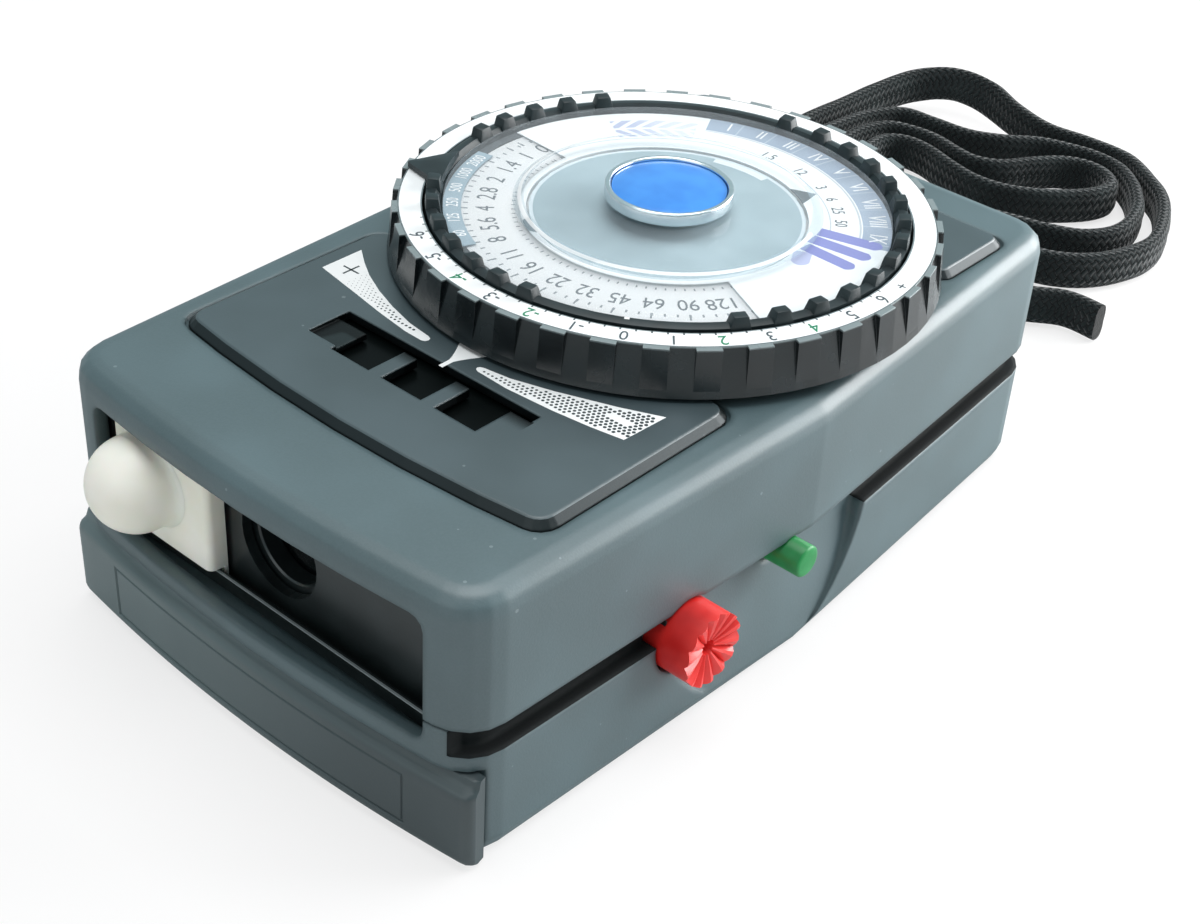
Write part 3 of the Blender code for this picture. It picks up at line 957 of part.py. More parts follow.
# Strap pin and the strap, a flat cord on its edge: out from the pin, once round, in to a hairpin and out again.
# At its farthest turn it is lifted off the table a little and leans over inwards.
pin_y = BACK_REACH - NOTCH_BACK_DEEP / 2
strap_pin = own(rod(PIN_RADIUS, (STRAP_X, pin_y, NOTCH_Z[0] + GAP), NOTCH_Z[1] - GAP, sides=16), "strap_pin", STEEL)
LAY_Z = STRAP_WIDE / 2 + STRAP_FLOOR
strap_start = pin_y + PIN_RADIUS + GAP * 1.5
ROUTE = [(STRAP_X, strap_start, STRAP_Z), (STRAP_X, strap_start + STRAP_WIDE, STRAP_Z), (-0.0112, 0.0665, 0.0052)] + [(x, y, LAY_Z + sum(lift)) for x, y, *lift in (
    (-0.0170, 0.0698), (-0.0245, 0.0712), (-0.0325, 0.0738), (-0.0395, 0.0790), (-0.0440, 0.0890), (-0.0468, 0.1000), (-0.0475, 0.1100),
    (-0.0470, 0.1200), (-0.0460, 0.1290, 0.0005), (-0.0435, 0.1375, 0.0013), (-0.0380, 0.1420, 0.0022), (-0.0310, 0.1425, 0.0019), (-0.0235, 0.1405, 0.0007), (-0.0160, 0.1392),
    (-0.0080, 0.1397), (0.0000, 0.1390), (0.0073, 0.1340), (0.0119, 0.1295), (0.0157, 0.1224), (0.0178, 0.1155), (0.0171, 0.1092),
    (0.0142, 0.1027), (0.0090, 0.0983), (0.0011, 0.0966), (-0.0093, 0.0946), (-0.0208, 0.0927), (-0.0282, 0.0928), (-0.0342, 0.0970),
    (-0.0372, 0.1040), (-0.0380, 0.1120), (-0.0361, 0.1181), (-0.0317, 0.1200), (-0.0271, 0.1201), (-0.0222, 0.1188), (-0.0178, 0.1182),
    (-0.0138, 0.1203), (-0.0107, 0.1252), (-0.0072, 0.1296), (-0.0030, 0.1313), (0.0010, 0.1301), (0.0034, 0.1270), (0.0022, 0.1222),
    (-0.0022, 0.1168), (-0.0082, 0.1129), (-0.0141, 0.1121), (-0.0201, 0.1136), (-0.0261, 0.1157), (-0.0306, 0.1157), (-0.0333, 0.1129),
    (-0.0330, 0.1076), (-0.0303, 0.1022), (-0.0258, 0.0980), (-0.0206, 0.0981), (-0.0123, 0.1006), (-0.0035, 0.1039), (0.0032, 0.1057),
    (0.0086, 0.1083), (0.0116, 0.1126), (0.0120, 0.1176), (0.0104, 0.1235), (0.0083, 0.1271), (0.0054, 0.1309), (0.0007, 0.1346),
    (-0.0045, 0.1356), (-0.0094, 0.1347), (-0.0142, 0.1329), (-0.0188, 0.1291), (-0.0244, 0.1262), (-0.0314, 0.1257), (-0.0373, 0.1250),
    (-0.0408, 0.1195), (-0.0420, 0.1125), (-0.0425, 0.1040), (-0.0412, 0.0950), (-0.0376, 0.0862), (-0.0320, 0.0800), (-0.0240, 0.0768),
    (-0.0140, 0.0762), (-0.0040, 0.0785), (0.0050, 0.0822), (0.0124, 0.0859), (0.0176, 0.0892), (0.0234, 0.0892))]


def smooth_route(points, step):
    """Evenly spaced points on a smooth curve through the route"""
    fine = []
    ends = [points[0]] + points + [points[-1]]
    for a, b, c, d in zip(ends, ends[1:], ends[2:], ends[3:]):
        a, b, c, d = (Vector(p) for p in (a, b, c, d))
        for k in range(8):
            t = k / 8
            fine.append((2 * b + (c - a) * t + (2 * a - 5 * b + 4 * c - d) * t * t + (3 * b - a - 3 * c + d) * t ** 3) / 2)
    fine.append(Vector(points[-1]))
    total = sum((b - a).length for a, b in zip(fine, fine[1:]))
    count = round(total / step)
    out, walked, target = [fine[0]], 0.0, total / count
    for a, b in zip(fine, fine[1:]):
        length = (b - a).length
        while walked + length >= target and len(out) < count:
            out.append(a.lerp(b, (target - walked) / length))
            target += total / count
        walked += length
    return out + [fine[-1]], total


route, strap_length = smooth_route(ROUTE, STRAP_STEP)
curve = bpy.data.curves.new("strap", "CURVE")
curve.dimensions, curve.twist_mode, curve.use_fill_caps = "3D", "Z_UP", True
curve.extrude, curve.bevel_depth, curve.bevel_resolution = (STRAP_WIDE - STRAP_THICK) / 2, STRAP_THICK / 2, 1
spline = curve.splines.new("POLY")
spline.points.add(len(route) - 1)
for point, place in zip(spline.points, route):
    point.co = (*place, 1)
    if place.y > STRAP_FAR_Y:
        point.tilt = STRAP_LEAN * (max(0, place.z - LAY_Z) / STRAP_LIFT) ** 2
curve.materials.append(FABRIC)
strap = bpy.data.objects.new("strap", curve)
MODEL.objects.link(strap)

# Least gap of the strap to itself, between places more than three widths apart along it
near = min(((a - b).length, i) for i, a in enumerate(route) for j, b in enumerate(route) if j - i > 3 * STRAP_WIDE / STRAP_STEP)
print("strap length %.4f m, least distance between its middle lines %.2f mm, least gap %.2f mm"
      % (strap_length, near[0] * MM_PER_METRE, (near[0] - STRAP_THICK) * MM_PER_METRE))
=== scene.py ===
"""A hand-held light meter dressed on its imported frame: moulded shells, a printed calculator dial, two side
keys, a sliding diffuser and a braided strap. Metres; the sensor end faces -Y and the keys +X."""
import math

import bmesh
import bpy
from mathutils import Matrix, Vector


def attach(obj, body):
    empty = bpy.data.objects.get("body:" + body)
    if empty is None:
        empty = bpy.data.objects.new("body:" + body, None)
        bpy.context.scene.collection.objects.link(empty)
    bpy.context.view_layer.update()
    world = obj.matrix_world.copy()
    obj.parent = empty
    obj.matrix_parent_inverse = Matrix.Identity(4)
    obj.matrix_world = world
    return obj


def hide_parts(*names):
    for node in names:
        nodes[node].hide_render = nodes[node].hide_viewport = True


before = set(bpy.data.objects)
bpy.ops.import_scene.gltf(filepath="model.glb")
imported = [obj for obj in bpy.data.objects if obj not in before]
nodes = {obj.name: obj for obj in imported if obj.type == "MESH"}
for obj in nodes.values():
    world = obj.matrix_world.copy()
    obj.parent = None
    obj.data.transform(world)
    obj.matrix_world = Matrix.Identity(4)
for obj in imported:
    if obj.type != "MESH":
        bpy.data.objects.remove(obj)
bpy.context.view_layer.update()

# Camera
# The meter is seen from its front right corner, from about 25 cm away and 35 degrees above the table, and it
# stands turned a little in the frame. The focal length is in pixels of a picture 1200 wide.
azimuth, elevation, roll = math.radians(39.70), math.radians(35.02), math.radians(3.71)
distance, aside, higher = 0.25136, 0.00136, 0.00764
focal_length, picture_wide = 1948.76, 1200
toward = Vector((math.sin(azimuth) * math.cos(elevation), -math.cos(azimuth) * math.cos(elevation),
                 math.sin(elevation)))
level = (-toward).cross(Vector((0, 0, 1))).normalized()
rise = level.cross(-toward)
across = level * math.cos(roll) + rise * math.sin(roll)
upward = rise * math.cos(roll) - level * math.sin(roll)
camera = bpy.data.objects.new("camera", bpy.data.cameras.new("camera"))
bpy.context.scene.collection.objects.link(camera)
camera.matrix_world = (Matrix.Translation(toward * distance + level * aside + rise * higher)
                       @ Matrix((across, upward, toward)).transposed().to_4x4())
camera.data.sensor_width = 36
camera.data.lens = focal_length / picture_wide * camera.data.sensor_width
camera.data.clip_start = 0.01
bpy.context.scene.camera = camera
bpy.context.scene.view_settings.view_transform = "Standard"


# Lamps, table and surroundings
# Three soft boxes: a broad one overhead, a near one behind the right shoulder and a weak one in front. The table
# is white card that keeps the shadow; it and the surroundings show white to the camera and a cool grey in gloss.
class Number:
    """One number of a finish: sums, products and comparisons of it become Math nodes"""

    def __init__(self, finish, socket):
        self.finish, self.socket = finish, socket

    def math(self, operation, *others):
        return Number(self.finish, self.finish.node("Math", {"operation": operation}, [self, *others]))

    def turned(self, operation, first):
        return Number(self.finish, self.finish.node("Math", {"operation": operation}, [first, self]))

    def __add__(self, other): return self.math("ADD", other)
    def __radd__(self, other): return self.math("ADD", other)
    def __sub__(self, other): return self.math("SUBTRACT", other)
    def __rsub__(self, other): return self.turned("SUBTRACT", other)
    def __mul__(self, other): return self.math("MULTIPLY", other)
    def __rmul__(self, other): return self.math("MULTIPLY", other)
    def __truediv__(self, other): return self.math("DIVIDE", other)
    def __rtruediv__(self, other): return self.turned("DIVIDE", other)
    def __gt__(self, other): return self.math("GREATER_THAN", other)
    def __lt__(self, other): return self.math("LESS_THAN", other)
    def __pow__(self, other): return self.math("POWER", other)
    def __mod__(self, other): return self.math("FLOORED_MODULO", other)
    def __neg__(self): return self.math("MULTIPLY", -1)
    def __abs__(self): return self.math("ABSOLUTE")

    def clamp(self): return Number(self.finish, self.finish.node("Clamp", {}, [self]))
    def between(self, low, high): return (self > low) * (self < high)

    def fade(self, low, high):
        """0 below low, 1 above high, and a soft step between them"""
        soft = {"interpolation_type": "SMOOTHSTEP"}
        return Number(self.finish, self.finish.node("MapRange", soft, [self, low, high, 0, 1]))


class Finish:
    """One finish: a shader whose constant sockets are set by name, and whose patterns are fed to it later"""

    def __init__(self, name, **sockets):
        self.material = bpy.data.materials.new(name)
        self.material.use_nodes = True
        self.tree = self.material.node_tree
        self.shader = self.tree.nodes["Principled BSDF"]
        for socket, value in sockets.items():
            self.shader.inputs[socket.replace("_", " ")].default_value = value
        self.place = self.node("TexCoord", {}, [], "Object")
        self.x, self.y, self.z = (Number(self, self.node("SeparateXYZ", {}, [self.place], axis)) for axis in "XYZ")

    def node(self, kind, settings, values, output=0):
        """Adds a node, sets it up, fills its inputs in order or by name, and gives one of its outputs"""
        made = self.tree.nodes.new("ShaderNode" + kind)
        for setting, value in settings.items():
            setattr(made, setting, value)
        for key, value in (values.items() if isinstance(values, dict) else enumerate(values)):
            self.feed(made.inputs[key], value)
        return made.outputs[output]

    def feed(self, socket, value):
        value = value.socket if isinstance(value, Number) else value
        if isinstance(value, bpy.types.NodeSocket):
            self.tree.links.new(value, socket)
        elif socket.type == "RGBA" and len(value) == 3:
            socket.default_value = (*value, 1)
        else:
            socket.default_value = value

    def give(self, **sockets):
        """Feeds patterns to the shader's sockets"""
        for socket, value in sockets.items():
            self.feed(self.shader.inputs[socket.replace("_", " ")], value)

    def mix(self, share, first, second):
        """A colour between two colours"""
        return self.node("Mix", {"data_type": "RGBA"}, {0: share, 6: first, 7: second}, 2)

    def noise(self, size, detail=2.0):
        """Cloudy noise whose lumps are about one size, in metres"""
        return Number(self, self.node("TexNoise", {}, {"Vector": self.place, "Scale": 1 / size, "Detail": detail}))

    def specks(self, size, share):
        """1 on a share of small cells scattered over the surface, else 0"""
        cells = self.node("TexVoronoi", {}, {"Vector": self.place, "Scale": 1 / size, "Randomness": 1.0}, "Color")
        red, green = (Number(self, self.node("SeparateColor", {}, [cells], out)) for out in ("Red", "Green"))
        near = Number(self, self.node("TexVoronoi", {}, {"Vector": self.place, "Scale": 1 / size}, "Distance"))
        return (red < share) * (near < green * 0.25 + 0.08)

    def bump(self, height, depth, strength=1.0, round_off=0):
        """Roughens the surface by a pattern; its edges catch the light as if rounded by round_off"""
        values = {"Height": height, "Distance": depth, "Strength": strength}
        if round_off:
            values["Normal"] = self.node("Bevel", {"samples": 6}, {"Radius": round_off})
        self.give(Normal=self.node("Bump", {}, values))

    def dress(self, *names):
        """Puts this finish on CAD nodes"""
        for name in names:
            nodes[name].material_slots[0].material = self.material


def tone(red, green, blue):
    """A colour as it is read from a picture, 0 to 255, made linear"""
    return tuple((c / 255 / 12.92) if c < 11 else ((c / 255 + 0.055) / 1.055) ** 2.4 for c in (red, green, blue))


def soft_box(name, place, width, power, aim=(0, 0.02, 0.02)):
    """A square lamp: its place, its width in metres, its power in watts and the point it is aimed at"""
    lamp = bpy.data.objects.new(name, bpy.data.lights.new(name, "AREA"))
    lamp.data.size, lamp.data.energy = width, power
    lamp.location = place
    lamp.rotation_euler = (Vector(place) - Vector(aim)).to_track_quat("Z", "Y").to_euler()
    bpy.context.scene.collection.objects.link(lamp)


soft_box("overhead_box", (0.00, 0.10, 0.90), 0.80, 7.0)
soft_box("shoulder_box", (0.21, 0.36, 0.10), 0.36, 3.7, (0.03, 0.05, 0.02))
soft_box("front_box", (0.00, -0.90, 0.60), 0.80, 1.8)

ambient, in_gloss, white = (0.20, 0.21, 0.22, 1), (0.42, 0.56, 0.59, 1), (1, 1, 1, 1)
world = bpy.context.scene.world or bpy.data.worlds.new("surroundings")
bpy.context.scene.world = world
world.use_nodes = True
rays = world.node_tree.nodes.new("ShaderNodeLightPath")
seen = world.node_tree.nodes.new("ShaderNodeMath")
seen.operation = "ADD"
world.node_tree.links.new(rays.outputs["Is Camera Ray"], seen.inputs[0])
world.node_tree.links.new(rays.outputs["Is Transmission Ray"], seen.inputs[1])
below = None
for share, shown in ((rays.outputs["Is Glossy Ray"], in_gloss), (seen.outputs[0], white)):
    sky = world.node_tree.nodes.new("ShaderNodeMix")
    sky.data_type = "RGBA"
    sky.inputs[6].default_value, sky.inputs[7].default_value = ambient, shown
    world.node_tree.links.new(share, sky.inputs[0])
    if below:
        world.node_tree.links.new(below, sky.inputs[6])
    below = sky.outputs[2]
world.node_tree.links.new(below, world.node_tree.nodes["Background"].inputs["Color"])

table_size, table_top = 6, -0.0001
shown_white, shown_in_gloss = 0.72, 0.55
bpy.ops.object.select_all(action="DESELECT")
bpy.ops.mesh.primitive_plane_add(size=table_size, location=(0, 0, table_top))
table = bpy.context.object
table.name = "table"
card = Finish("white_card", Roughness=0.7)
card.give(Base_Color=card.mix(card.noise(0.08), (0.90, 0.90, 0.90), (0.93, 0.93, 0.93)))
camera_ray = Number(card, card.node("LightPath", {}, [], "Is Camera Ray"))
glossy_ray = Number(card, card.node("LightPath", {}, [], "Is Glossy Ray"))
glow = card.node("Emission", {}, {"Color": card.mix(glossy_ray, (1, 1, 1), (0.30, 0.38, 0.40)), "Strength": 1.0})
card.feed(card.tree.nodes["Material Output"].inputs["Surface"],
          card.node("MixShader", {}, [camera_ray * shown_white + glossy_ray * shown_in_gloss,
                                      card.shader.outputs[0], glow]))
table.data.materials.append(card.material)

# Upper and lower shell
# Two mouldings in charcoal plastic with a fine spark-eroded grain. They meet at a black joint line with a deep
# groove under it painted near-black as shade, and four screws from below hold them; the upper rims are rubbed
# a little smoother.
roof_rim, groove_low, groove_high = 0.0310, 0.01413, 0.01764
bar_half, bar_back = 0.0288, -0.050
recess_x, recess_front, recess_back, recess_slope = 0.0250, -0.0248, 0.0081, 0.82
shell = Finish("moulded_shell", Specular_IOR_Level=0.95)
grain = shell.noise(0.00026, 3.0)
cloud = shell.noise(0.016)
dust = shell.specks(0.0007, 0.006)
rim = (shell.z - roof_rim).fade(0, 0.0030)
# painted shade: the groove is painted near-black, and a metallic share darkens it further
groove_shade = shell.z.between(groove_low, groove_high)
groove_shade = groove_shade * (1 - (abs(shell.x) < bar_half) * (shell.y < bar_back))
recess = shell.y.between(recess_front, recess_back - (shell.z - 0.0142) * recess_slope)
groove_shade = groove_shade * (1 - (shell.x > recess_x) * recess)
shade = shell.mix(cloud.fade(0.35, 0.70), tone(68, 87, 91), tone(76, 97, 102))
shade = shell.mix(grain.fade(0.30, 0.75) * 0.25, shade, tone(86, 104, 110))
shade = shell.mix(dust * 0.25, shade, tone(170, 182, 184))
shade = shell.mix(groove_shade, shade, tone(4, 9, 11))
shell.give(Base_Color=shade, Metallic=groove_shade * 0.6,
           Roughness=0.40 + cloud * 0.08 - rim * 0.04 + grain * 0.06 + groove_shade * 0.3)
shell.bump(grain, 0.00004, 0.45, round_off=0.0011)
shell.dress("top_housing", "bottom_housing", "battery_cover")

# Front and rear plate
# Flat moulded plates let into the roof, darker and smoother than the shells, with bevelled rims. The front one
# has the comb-shaped needle window. The rims and the far ends of the comb's teeth are painted in shadow, and the
# pocket at the window's left end has painted light near its open corner and painted shadow toward its walls.
plate_face, plate_rim, pocket_floor = 0.03496, 0.03484, 0.0343
teeth_back, teeth_shade_end = -0.0270, 0.0295
plate = Finish("flat_plate", Specular_IOR_Level=1.0)
grain = plate.noise(0.00018, 2.0)
cloud = plate.noise(0.012)
shade = plate.mix(cloud.fade(0.3, 0.7), tone(54, 68, 72), tone(61, 76, 81))
shade = plate.mix(plate.specks(0.0008, 0.006) * 0.25, shade, tone(170, 182, 184))
teeth_ends = plate.x.between(-0.0097, 0.0148) * (plate.y < teeth_back)
teeth_ends = teeth_ends * (1 - (-plate.y).fade(0.0272, teeth_shade_end))
pocket = plate.x.between(-0.0158, -0.0110) * plate.y.between(-0.0320, -0.0262)
pocket = pocket * (plate.z < plate_face) * (plate.z > pocket_floor)
# painted light and shadow: the pocket floor is painted lighter where lit and dark where its walls shade it
lit = (plate.x - plate.y * 0.3).fade(-0.0070, -0.0040) * (-plate.y).fade(-teeth_back, 0.0292)
shade = plate.mix(pocket * lit * 0.8, shade, tone(84, 104, 106))
shadow = (teeth_ends * 0.9 + pocket * (1 - lit) * 0.92 + (plate.z < plate_rim) * 0.85).clamp()
plate.give(Base_Color=plate.mix(shadow, shade, tone(8, 12, 13)), Metallic=shadow * 0.8,
           Roughness=0.31 + cloud * 0.08 + grain * 0.04)
plate.bump(grain, 0.00003, 0.35, round_off=0.0004)
plate.dress("dial_plate", "rear_plate")

# Needle window
# A smoked pane under the plate, black from outside, with a little dust on it.
pane = Finish("smoked_pane", Specular_IOR_Level=0.08)
pane.give(Base_Color=pane.mix(pane.specks(0.0012, 0.02) * 0.5, tone(3, 6, 6), tone(90, 98, 98)),
          Roughness=0.25 + pane.noise(0.002) * 0.1)
pane.dress("window_glass")

# Dark frame
# A soft black moulding behind the slot, a smooth wall with two rails; a painted highlight runs along its rail
# edges. The parts of the meter inside are moulded in the same black.
rail_low, rail_high, rail_front = 0.01532, 0.01556, -0.05165
tab_half, tab_front, tab_back, tab_low, tab_lit = 0.0027, -0.0488, -0.0476, 0.0230, 0.0237
dark = Finish("soft_black", Specular_IOR_Level=0.6)
grain = dark.noise(0.00035)
shade = dark.mix(dark.noise(0.005).fade(0.35, 0.7), tone(22, 28, 29), tone(30, 37, 38))
# painted highlight: a thin pale line along the front rail edges
shade = dark.mix(dark.z.between(rail_low, rail_high) * (dark.y < rail_front) * 0.8, shade, tone(170, 182, 184))
# the sensor tube's tab: painted grey, with a painted highlight along its lower edge
tab = (abs(dark.x) < tab_half) * dark.y.between(tab_front, tab_back) * (dark.z > tab_low)
shade = dark.mix(tab, shade, dark.mix(dark.z < tab_lit, tone(58, 68, 68), tone(176, 188, 188)))
dark.give(Base_Color=shade, Roughness=0.26 + grain * 0.08)
dark.bump(grain, 0.00002, 0.3)
dark.dress("slot_frame", "needle_scale", "red_switch", "green_switch", "amplifier_chip", "battery_snap")
rounding = nodes["slot_frame"].modifiers.new("edges", "BEVEL")
rounding.width, rounding.segments, rounding.angle_limit = 0.00016, 2, math.radians(40)

# Brass
# The dial's shaft with its nut and the meter's coil and bridge, turned and left bright.
brass = Finish("turned_brass", Metallic=1.0)
brass.give(Base_Color=brass.mix(brass.noise(0.002), tone(190, 150, 84), tone(206, 168, 100)),
           Roughness=0.28 + brass.noise(0.0006, 4.0) * 0.2)
brass.dress("dial_shaft", "pot_nut", "meter_coil", "meter_bridge")

# Circuit board
# Green laminate on four posts of the lower shell.
board = Finish("circuit_laminate", Specular_IOR_Level=0.5)
board.give(Base_Color=board.mix(board.noise(0.0009, 3.0).fade(0.45, 0.6), tone(28, 92, 58), tone(44, 116, 72)),
           Roughness=0.42 + board.noise(0.002) * 0.15)
board.dress("circuit_board")

# Outer ring of the dial
# A gloss black moulding with a pad and a facet at each thirty-sixth of its rim. The facets lean in at the top,
# which leaves a tapered step beside each pad; the floor inside carries the printed discs.
dial_y, teeth, ring_turn = 0.0118, 36, 0.5
ring_low, ring_belt, ring_high = 0.0355, 0.0364, 0.0414
facet_radius, pad_radius, belt_radius, foot_radius = 0.0325, 0.0332, 0.0336, 0.0338
floor_radius, under_radius, shaft_radius, rim_wide = 0.0296, 0.0300, 0.0034, 0.0028
ledge_deep, floor_deep, under_deep = 0.0009, 0.0020, 0.0018


def begin(primitive, **settings):
    """Adds one primitive with nothing else selected, puts its place in its mesh and opens it for editing"""
    bpy.ops.object.select_all(action="DESELECT")
    primitive(**settings)
    bpy.ops.object.transform_apply()
    bpy.ops.object.mode_set(mode="EDIT")


def pick(test, kind="FACE", within=False):
    """Selects the faces, edges or points whose middle and direction pass the test"""
    bpy.ops.mesh.select_mode(type=kind)
    shape = bmesh.from_edit_mesh(bpy.context.object.data)
    chosen = []
    for item in {"FACE": shape.faces, "EDGE": shape.edges, "VERT": shape.verts}[kind]:
        if kind == "FACE":
            place, way = item.calc_center_median(), item.normal
        elif kind == "EDGE":
            start, end = (point.co for point in item.verts)
            place, way = (start + end) / 2, (end - start).normalized()
        else:
            place, way = item.co, item.normal
        if (item.select or not within) and test(place, way):
            chosen.append(item)
    for item in (*shape.faces, *shape.edges, *shape.verts):
        item.select_set(False)
    for item in chosen:
        item.select_set(True)
    bmesh.update_edit_mesh(bpy.context.object.data)


def push(x, y, z):
    """Extrudes what is selected by an offset"""
    bpy.ops.mesh.extrude_region_move(TRANSFORM_OT_translate={"value": (x, y, z)})


def stretch(x, y, z, centre):
    """Scales what is selected about a point"""
    bpy.ops.transform.resize(value=(x, y, z), center_override=centre)


def complete(name, finish, body, slot, *replaced, edge=0, sharp=35, round_off=2):
    """Closes the mesh, rounds its edges, shades it and hangs it on its body"""
    if bpy.context.object.mode == "EDIT":
        bpy.ops.mesh.select_all(action="SELECT")
        bpy.ops.mesh.remove_doubles(threshold=0.000002)
        bpy.ops.mesh.normals_make_consistent(inside=False)
        bpy.ops.object.mode_set(mode="OBJECT")
    piece = bpy.context.object
    piece.name = piece.data.name = name
    if edge:
        rounding = piece.modifiers.new("edges", "BEVEL")
        rounding.width, rounding.segments, rounding.angle_limit = edge, round_off, math.radians(32)
        bpy.ops.object.modifier_apply(modifier="edges")
    bpy.ops.object.shade_smooth_by_angle(angle=math.radians(sharp))
    piece.data.materials.clear()
    piece.data.materials.append(finish.material)
    if replaced:
        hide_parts(*replaced)
    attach(piece, body)


def turned_to(place):
    """Distance from the dial's axis, and the angle round it in degrees"""
    return math.hypot(place.x, place.y - dial_y), math.degrees(math.atan2(place.y - dial_y, place.x))


def widen(share):
    """Scales what is selected away from the dial's axis, or toward it"""
    stretch(share, share, 1, (0, dial_y, 0))


def pick_middle(side):
    """Selects the flat face round the dial's axis: 1 for the one on top, -1 for the one below"""
    pick(lambda place, way: way.z * side > 0.9 and turned_to(place)[0] < 0.001)


def bore(top_wide, under_wide):
    """Cuts a round hole through the dial's middle and leaves rims of these widths round it"""
    for side, wide in ((1, top_wide), (-1, under_wide)):
        pick_middle(side)
        bpy.ops.mesh.inset(thickness=wide)
    pick(lambda place, way: abs(way.z) > 0.9 and turned_to(place)[0] < 0.0005)
    bpy.ops.mesh.bridge_edge_loops()


ring_black = Finish("ring_black", Specular_IOR_Level=0.8)
cloud = ring_black.noise(0.004)
shade = ring_black.mix(cloud.fade(0.35, 0.7), tone(11, 16, 18), tone(19, 26, 29))
# painted highlight: the top edge of the pads and facets is painted pale grey
top_highlight = (ring_black.z - (ring_high - 0.0003)).fade(0, 0.0003)
shade = ring_black.mix(top_highlight * 0.7, shade, tone(150, 164, 166))
ring_black.give(Base_Color=shade, Roughness=0.20 + cloud * 0.12)
ring_black.bump(ring_black.noise(0.0006), 0.00003, 0.35)
begin(bpy.ops.mesh.primitive_cylinder_add, vertices=2 * teeth, radius=facet_radius, depth=ring_high - ring_low,
      location=(0, dial_y, (ring_low + ring_high) / 2), rotation=(0, 0, math.radians(ring_turn)))
bpy.ops.mesh.select_all(action="SELECT")
bpy.ops.mesh.bisect(plane_co=(0, 0, ring_belt), plane_no=(0, 0, 1))
for height, radius in ((ring_belt, belt_radius), (ring_low, foot_radius)):
    pick(lambda place, way: abs(place.z - height) < 0.0004, "VERT")
    widen(radius / facet_radius)
pitch = 360 / teeth
pick(lambda place, way: place.z > ring_belt and abs(way.z) < 0.5
     and (turned_to(place)[1] - ring_turn) % pitch > pitch / 2)
push(0, 0, 0)
pick(lambda place, way: place.z > ring_high - 0.0001, "VERT", within=True)
widen(pad_radius / facet_radius)
pick_middle(1)
bpy.ops.mesh.inset(thickness=0.00006)
push(0, 0, -ledge_deep)
bpy.ops.mesh.inset(thickness=rim_wide)
push(0, 0, -floor_deep)
pick_middle(-1)
bpy.ops.mesh.inset(thickness=foot_radius - under_radius)
push(0, 0, under_deep)
bore(floor_radius - shaft_radius, under_radius - shaft_radius)
complete("serrated_ring", ring_black, "outer_dial", "black", "outer_ring", edge=0.00012, sharp=3.5)


# Rim scale
# A white printed ring let into the serrated ring: plus and minus numbers, the twos and fours green, and small
# ticks along its inner edge.
def dial_place(finish):
    """Distance from the dial's axis in mm, and the angle round it in degrees, as numbers of a finish"""
    across, along = finish.x * 1000, finish.y * 1000 - dial_y * 1000
    return (across * across + along * along) ** 0.5, along.math("ARCTAN2", across) * (180 / math.pi)


def sector(angle, start, end):
    """1 from one angle round to another, in degrees, else 0"""
    return ((angle - start) % 360.0) < (end - start)


def round_letters(words, size, radius, degrees, z, wide=1.0):
    """One printed word on the dial, its top outward, flat and made a mesh"""
    turn = math.radians(degrees)
    bpy.ops.object.select_all(action="DESELECT")
    bpy.ops.object.text_add()
    word = bpy.context.object
    word.data.body, word.data.size, word.data.extrude, word.data.resolution_u = words, size, 0.000012, 3
    word.data.align_x, word.data.align_y = "CENTER", "CENTER"
    bpy.ops.object.convert(target="MESH")
    word.location = (radius * math.cos(turn), dial_y + radius * math.sin(turn), z)
    word.rotation_euler, word.scale = (0, 0, turn - math.pi / 2), (wide, 1, 1)
    bpy.ops.object.transform_apply()
    return word


def print_together(words, name, finish, body, slot):
    """Joins printed words to one piece"""
    bpy.ops.object.select_all(action="DESELECT")
    for word in words:
        word.select_set(True)
    bpy.context.view_layer.objects.active = words[0]
    bpy.ops.object.join()
    complete(name, finish, body, slot)


def ink(name, lumps, thin, full, gloss=0.4, rough=0.5):
    """A printing ink between two colours, uneven over lumps of one size"""
    made = Finish(name, Specular_IOR_Level=gloss)
    made.give(Base_Color=made.mix(made.noise(lumps), thin, full), Roughness=rough + made.noise(0.001) * 0.1)
    return made


tick_long, rim_inner, rim_outer = 30.05, 29.75, 32.3
rim_white = Finish("rim_white", Specular_IOR_Level=0.5)
radius, angle = dial_place(rim_white)
ticks = (radius < tick_long) * ((angle % 3.3333) < 0.40) * sector(angle, 232, 366)
cloud = rim_white.noise(0.010)
shade = rim_white.mix(cloud.fade(0.3, 0.7), tone(243, 248, 249), tone(249, 252, 252))
shade = rim_white.mix((radius < rim_inner) + (radius > rim_outer), shade, tone(120, 134, 138))
rim_white.give(Base_Color=rim_white.mix(ticks.clamp(), shade, tone(60, 72, 76)), Roughness=0.40 + cloud * 0.12)
rim_white.dress("outer_scale")
print_dark = ink("print_dark", 0.0008, tone(62, 74, 80), tone(80, 92, 98))
print_green = ink("print_green", 0.0008, tone(18, 120, 84), tone(36, 138, 100))
rim_top, zero_at, step_apart = 0.04142, -58.6, 9.95
green_words, dark_words = [], []
for step in range(-6, 7):
    group = green_words if abs(step) in (2, 4) else dark_words
    group.append(round_letters(str(step), 0.0026, 0.0311, zero_at + step_apart * step, rim_top, 0.85))
dark_words.append(round_letters("+", 0.0022, 0.0312, 8.5, rim_top))
print_together(dark_words, "rim_numbers_dark", print_dark, "outer_dial", "black")
print_together(green_words, "rim_numbers_green", print_green, "outer_dial", "green")

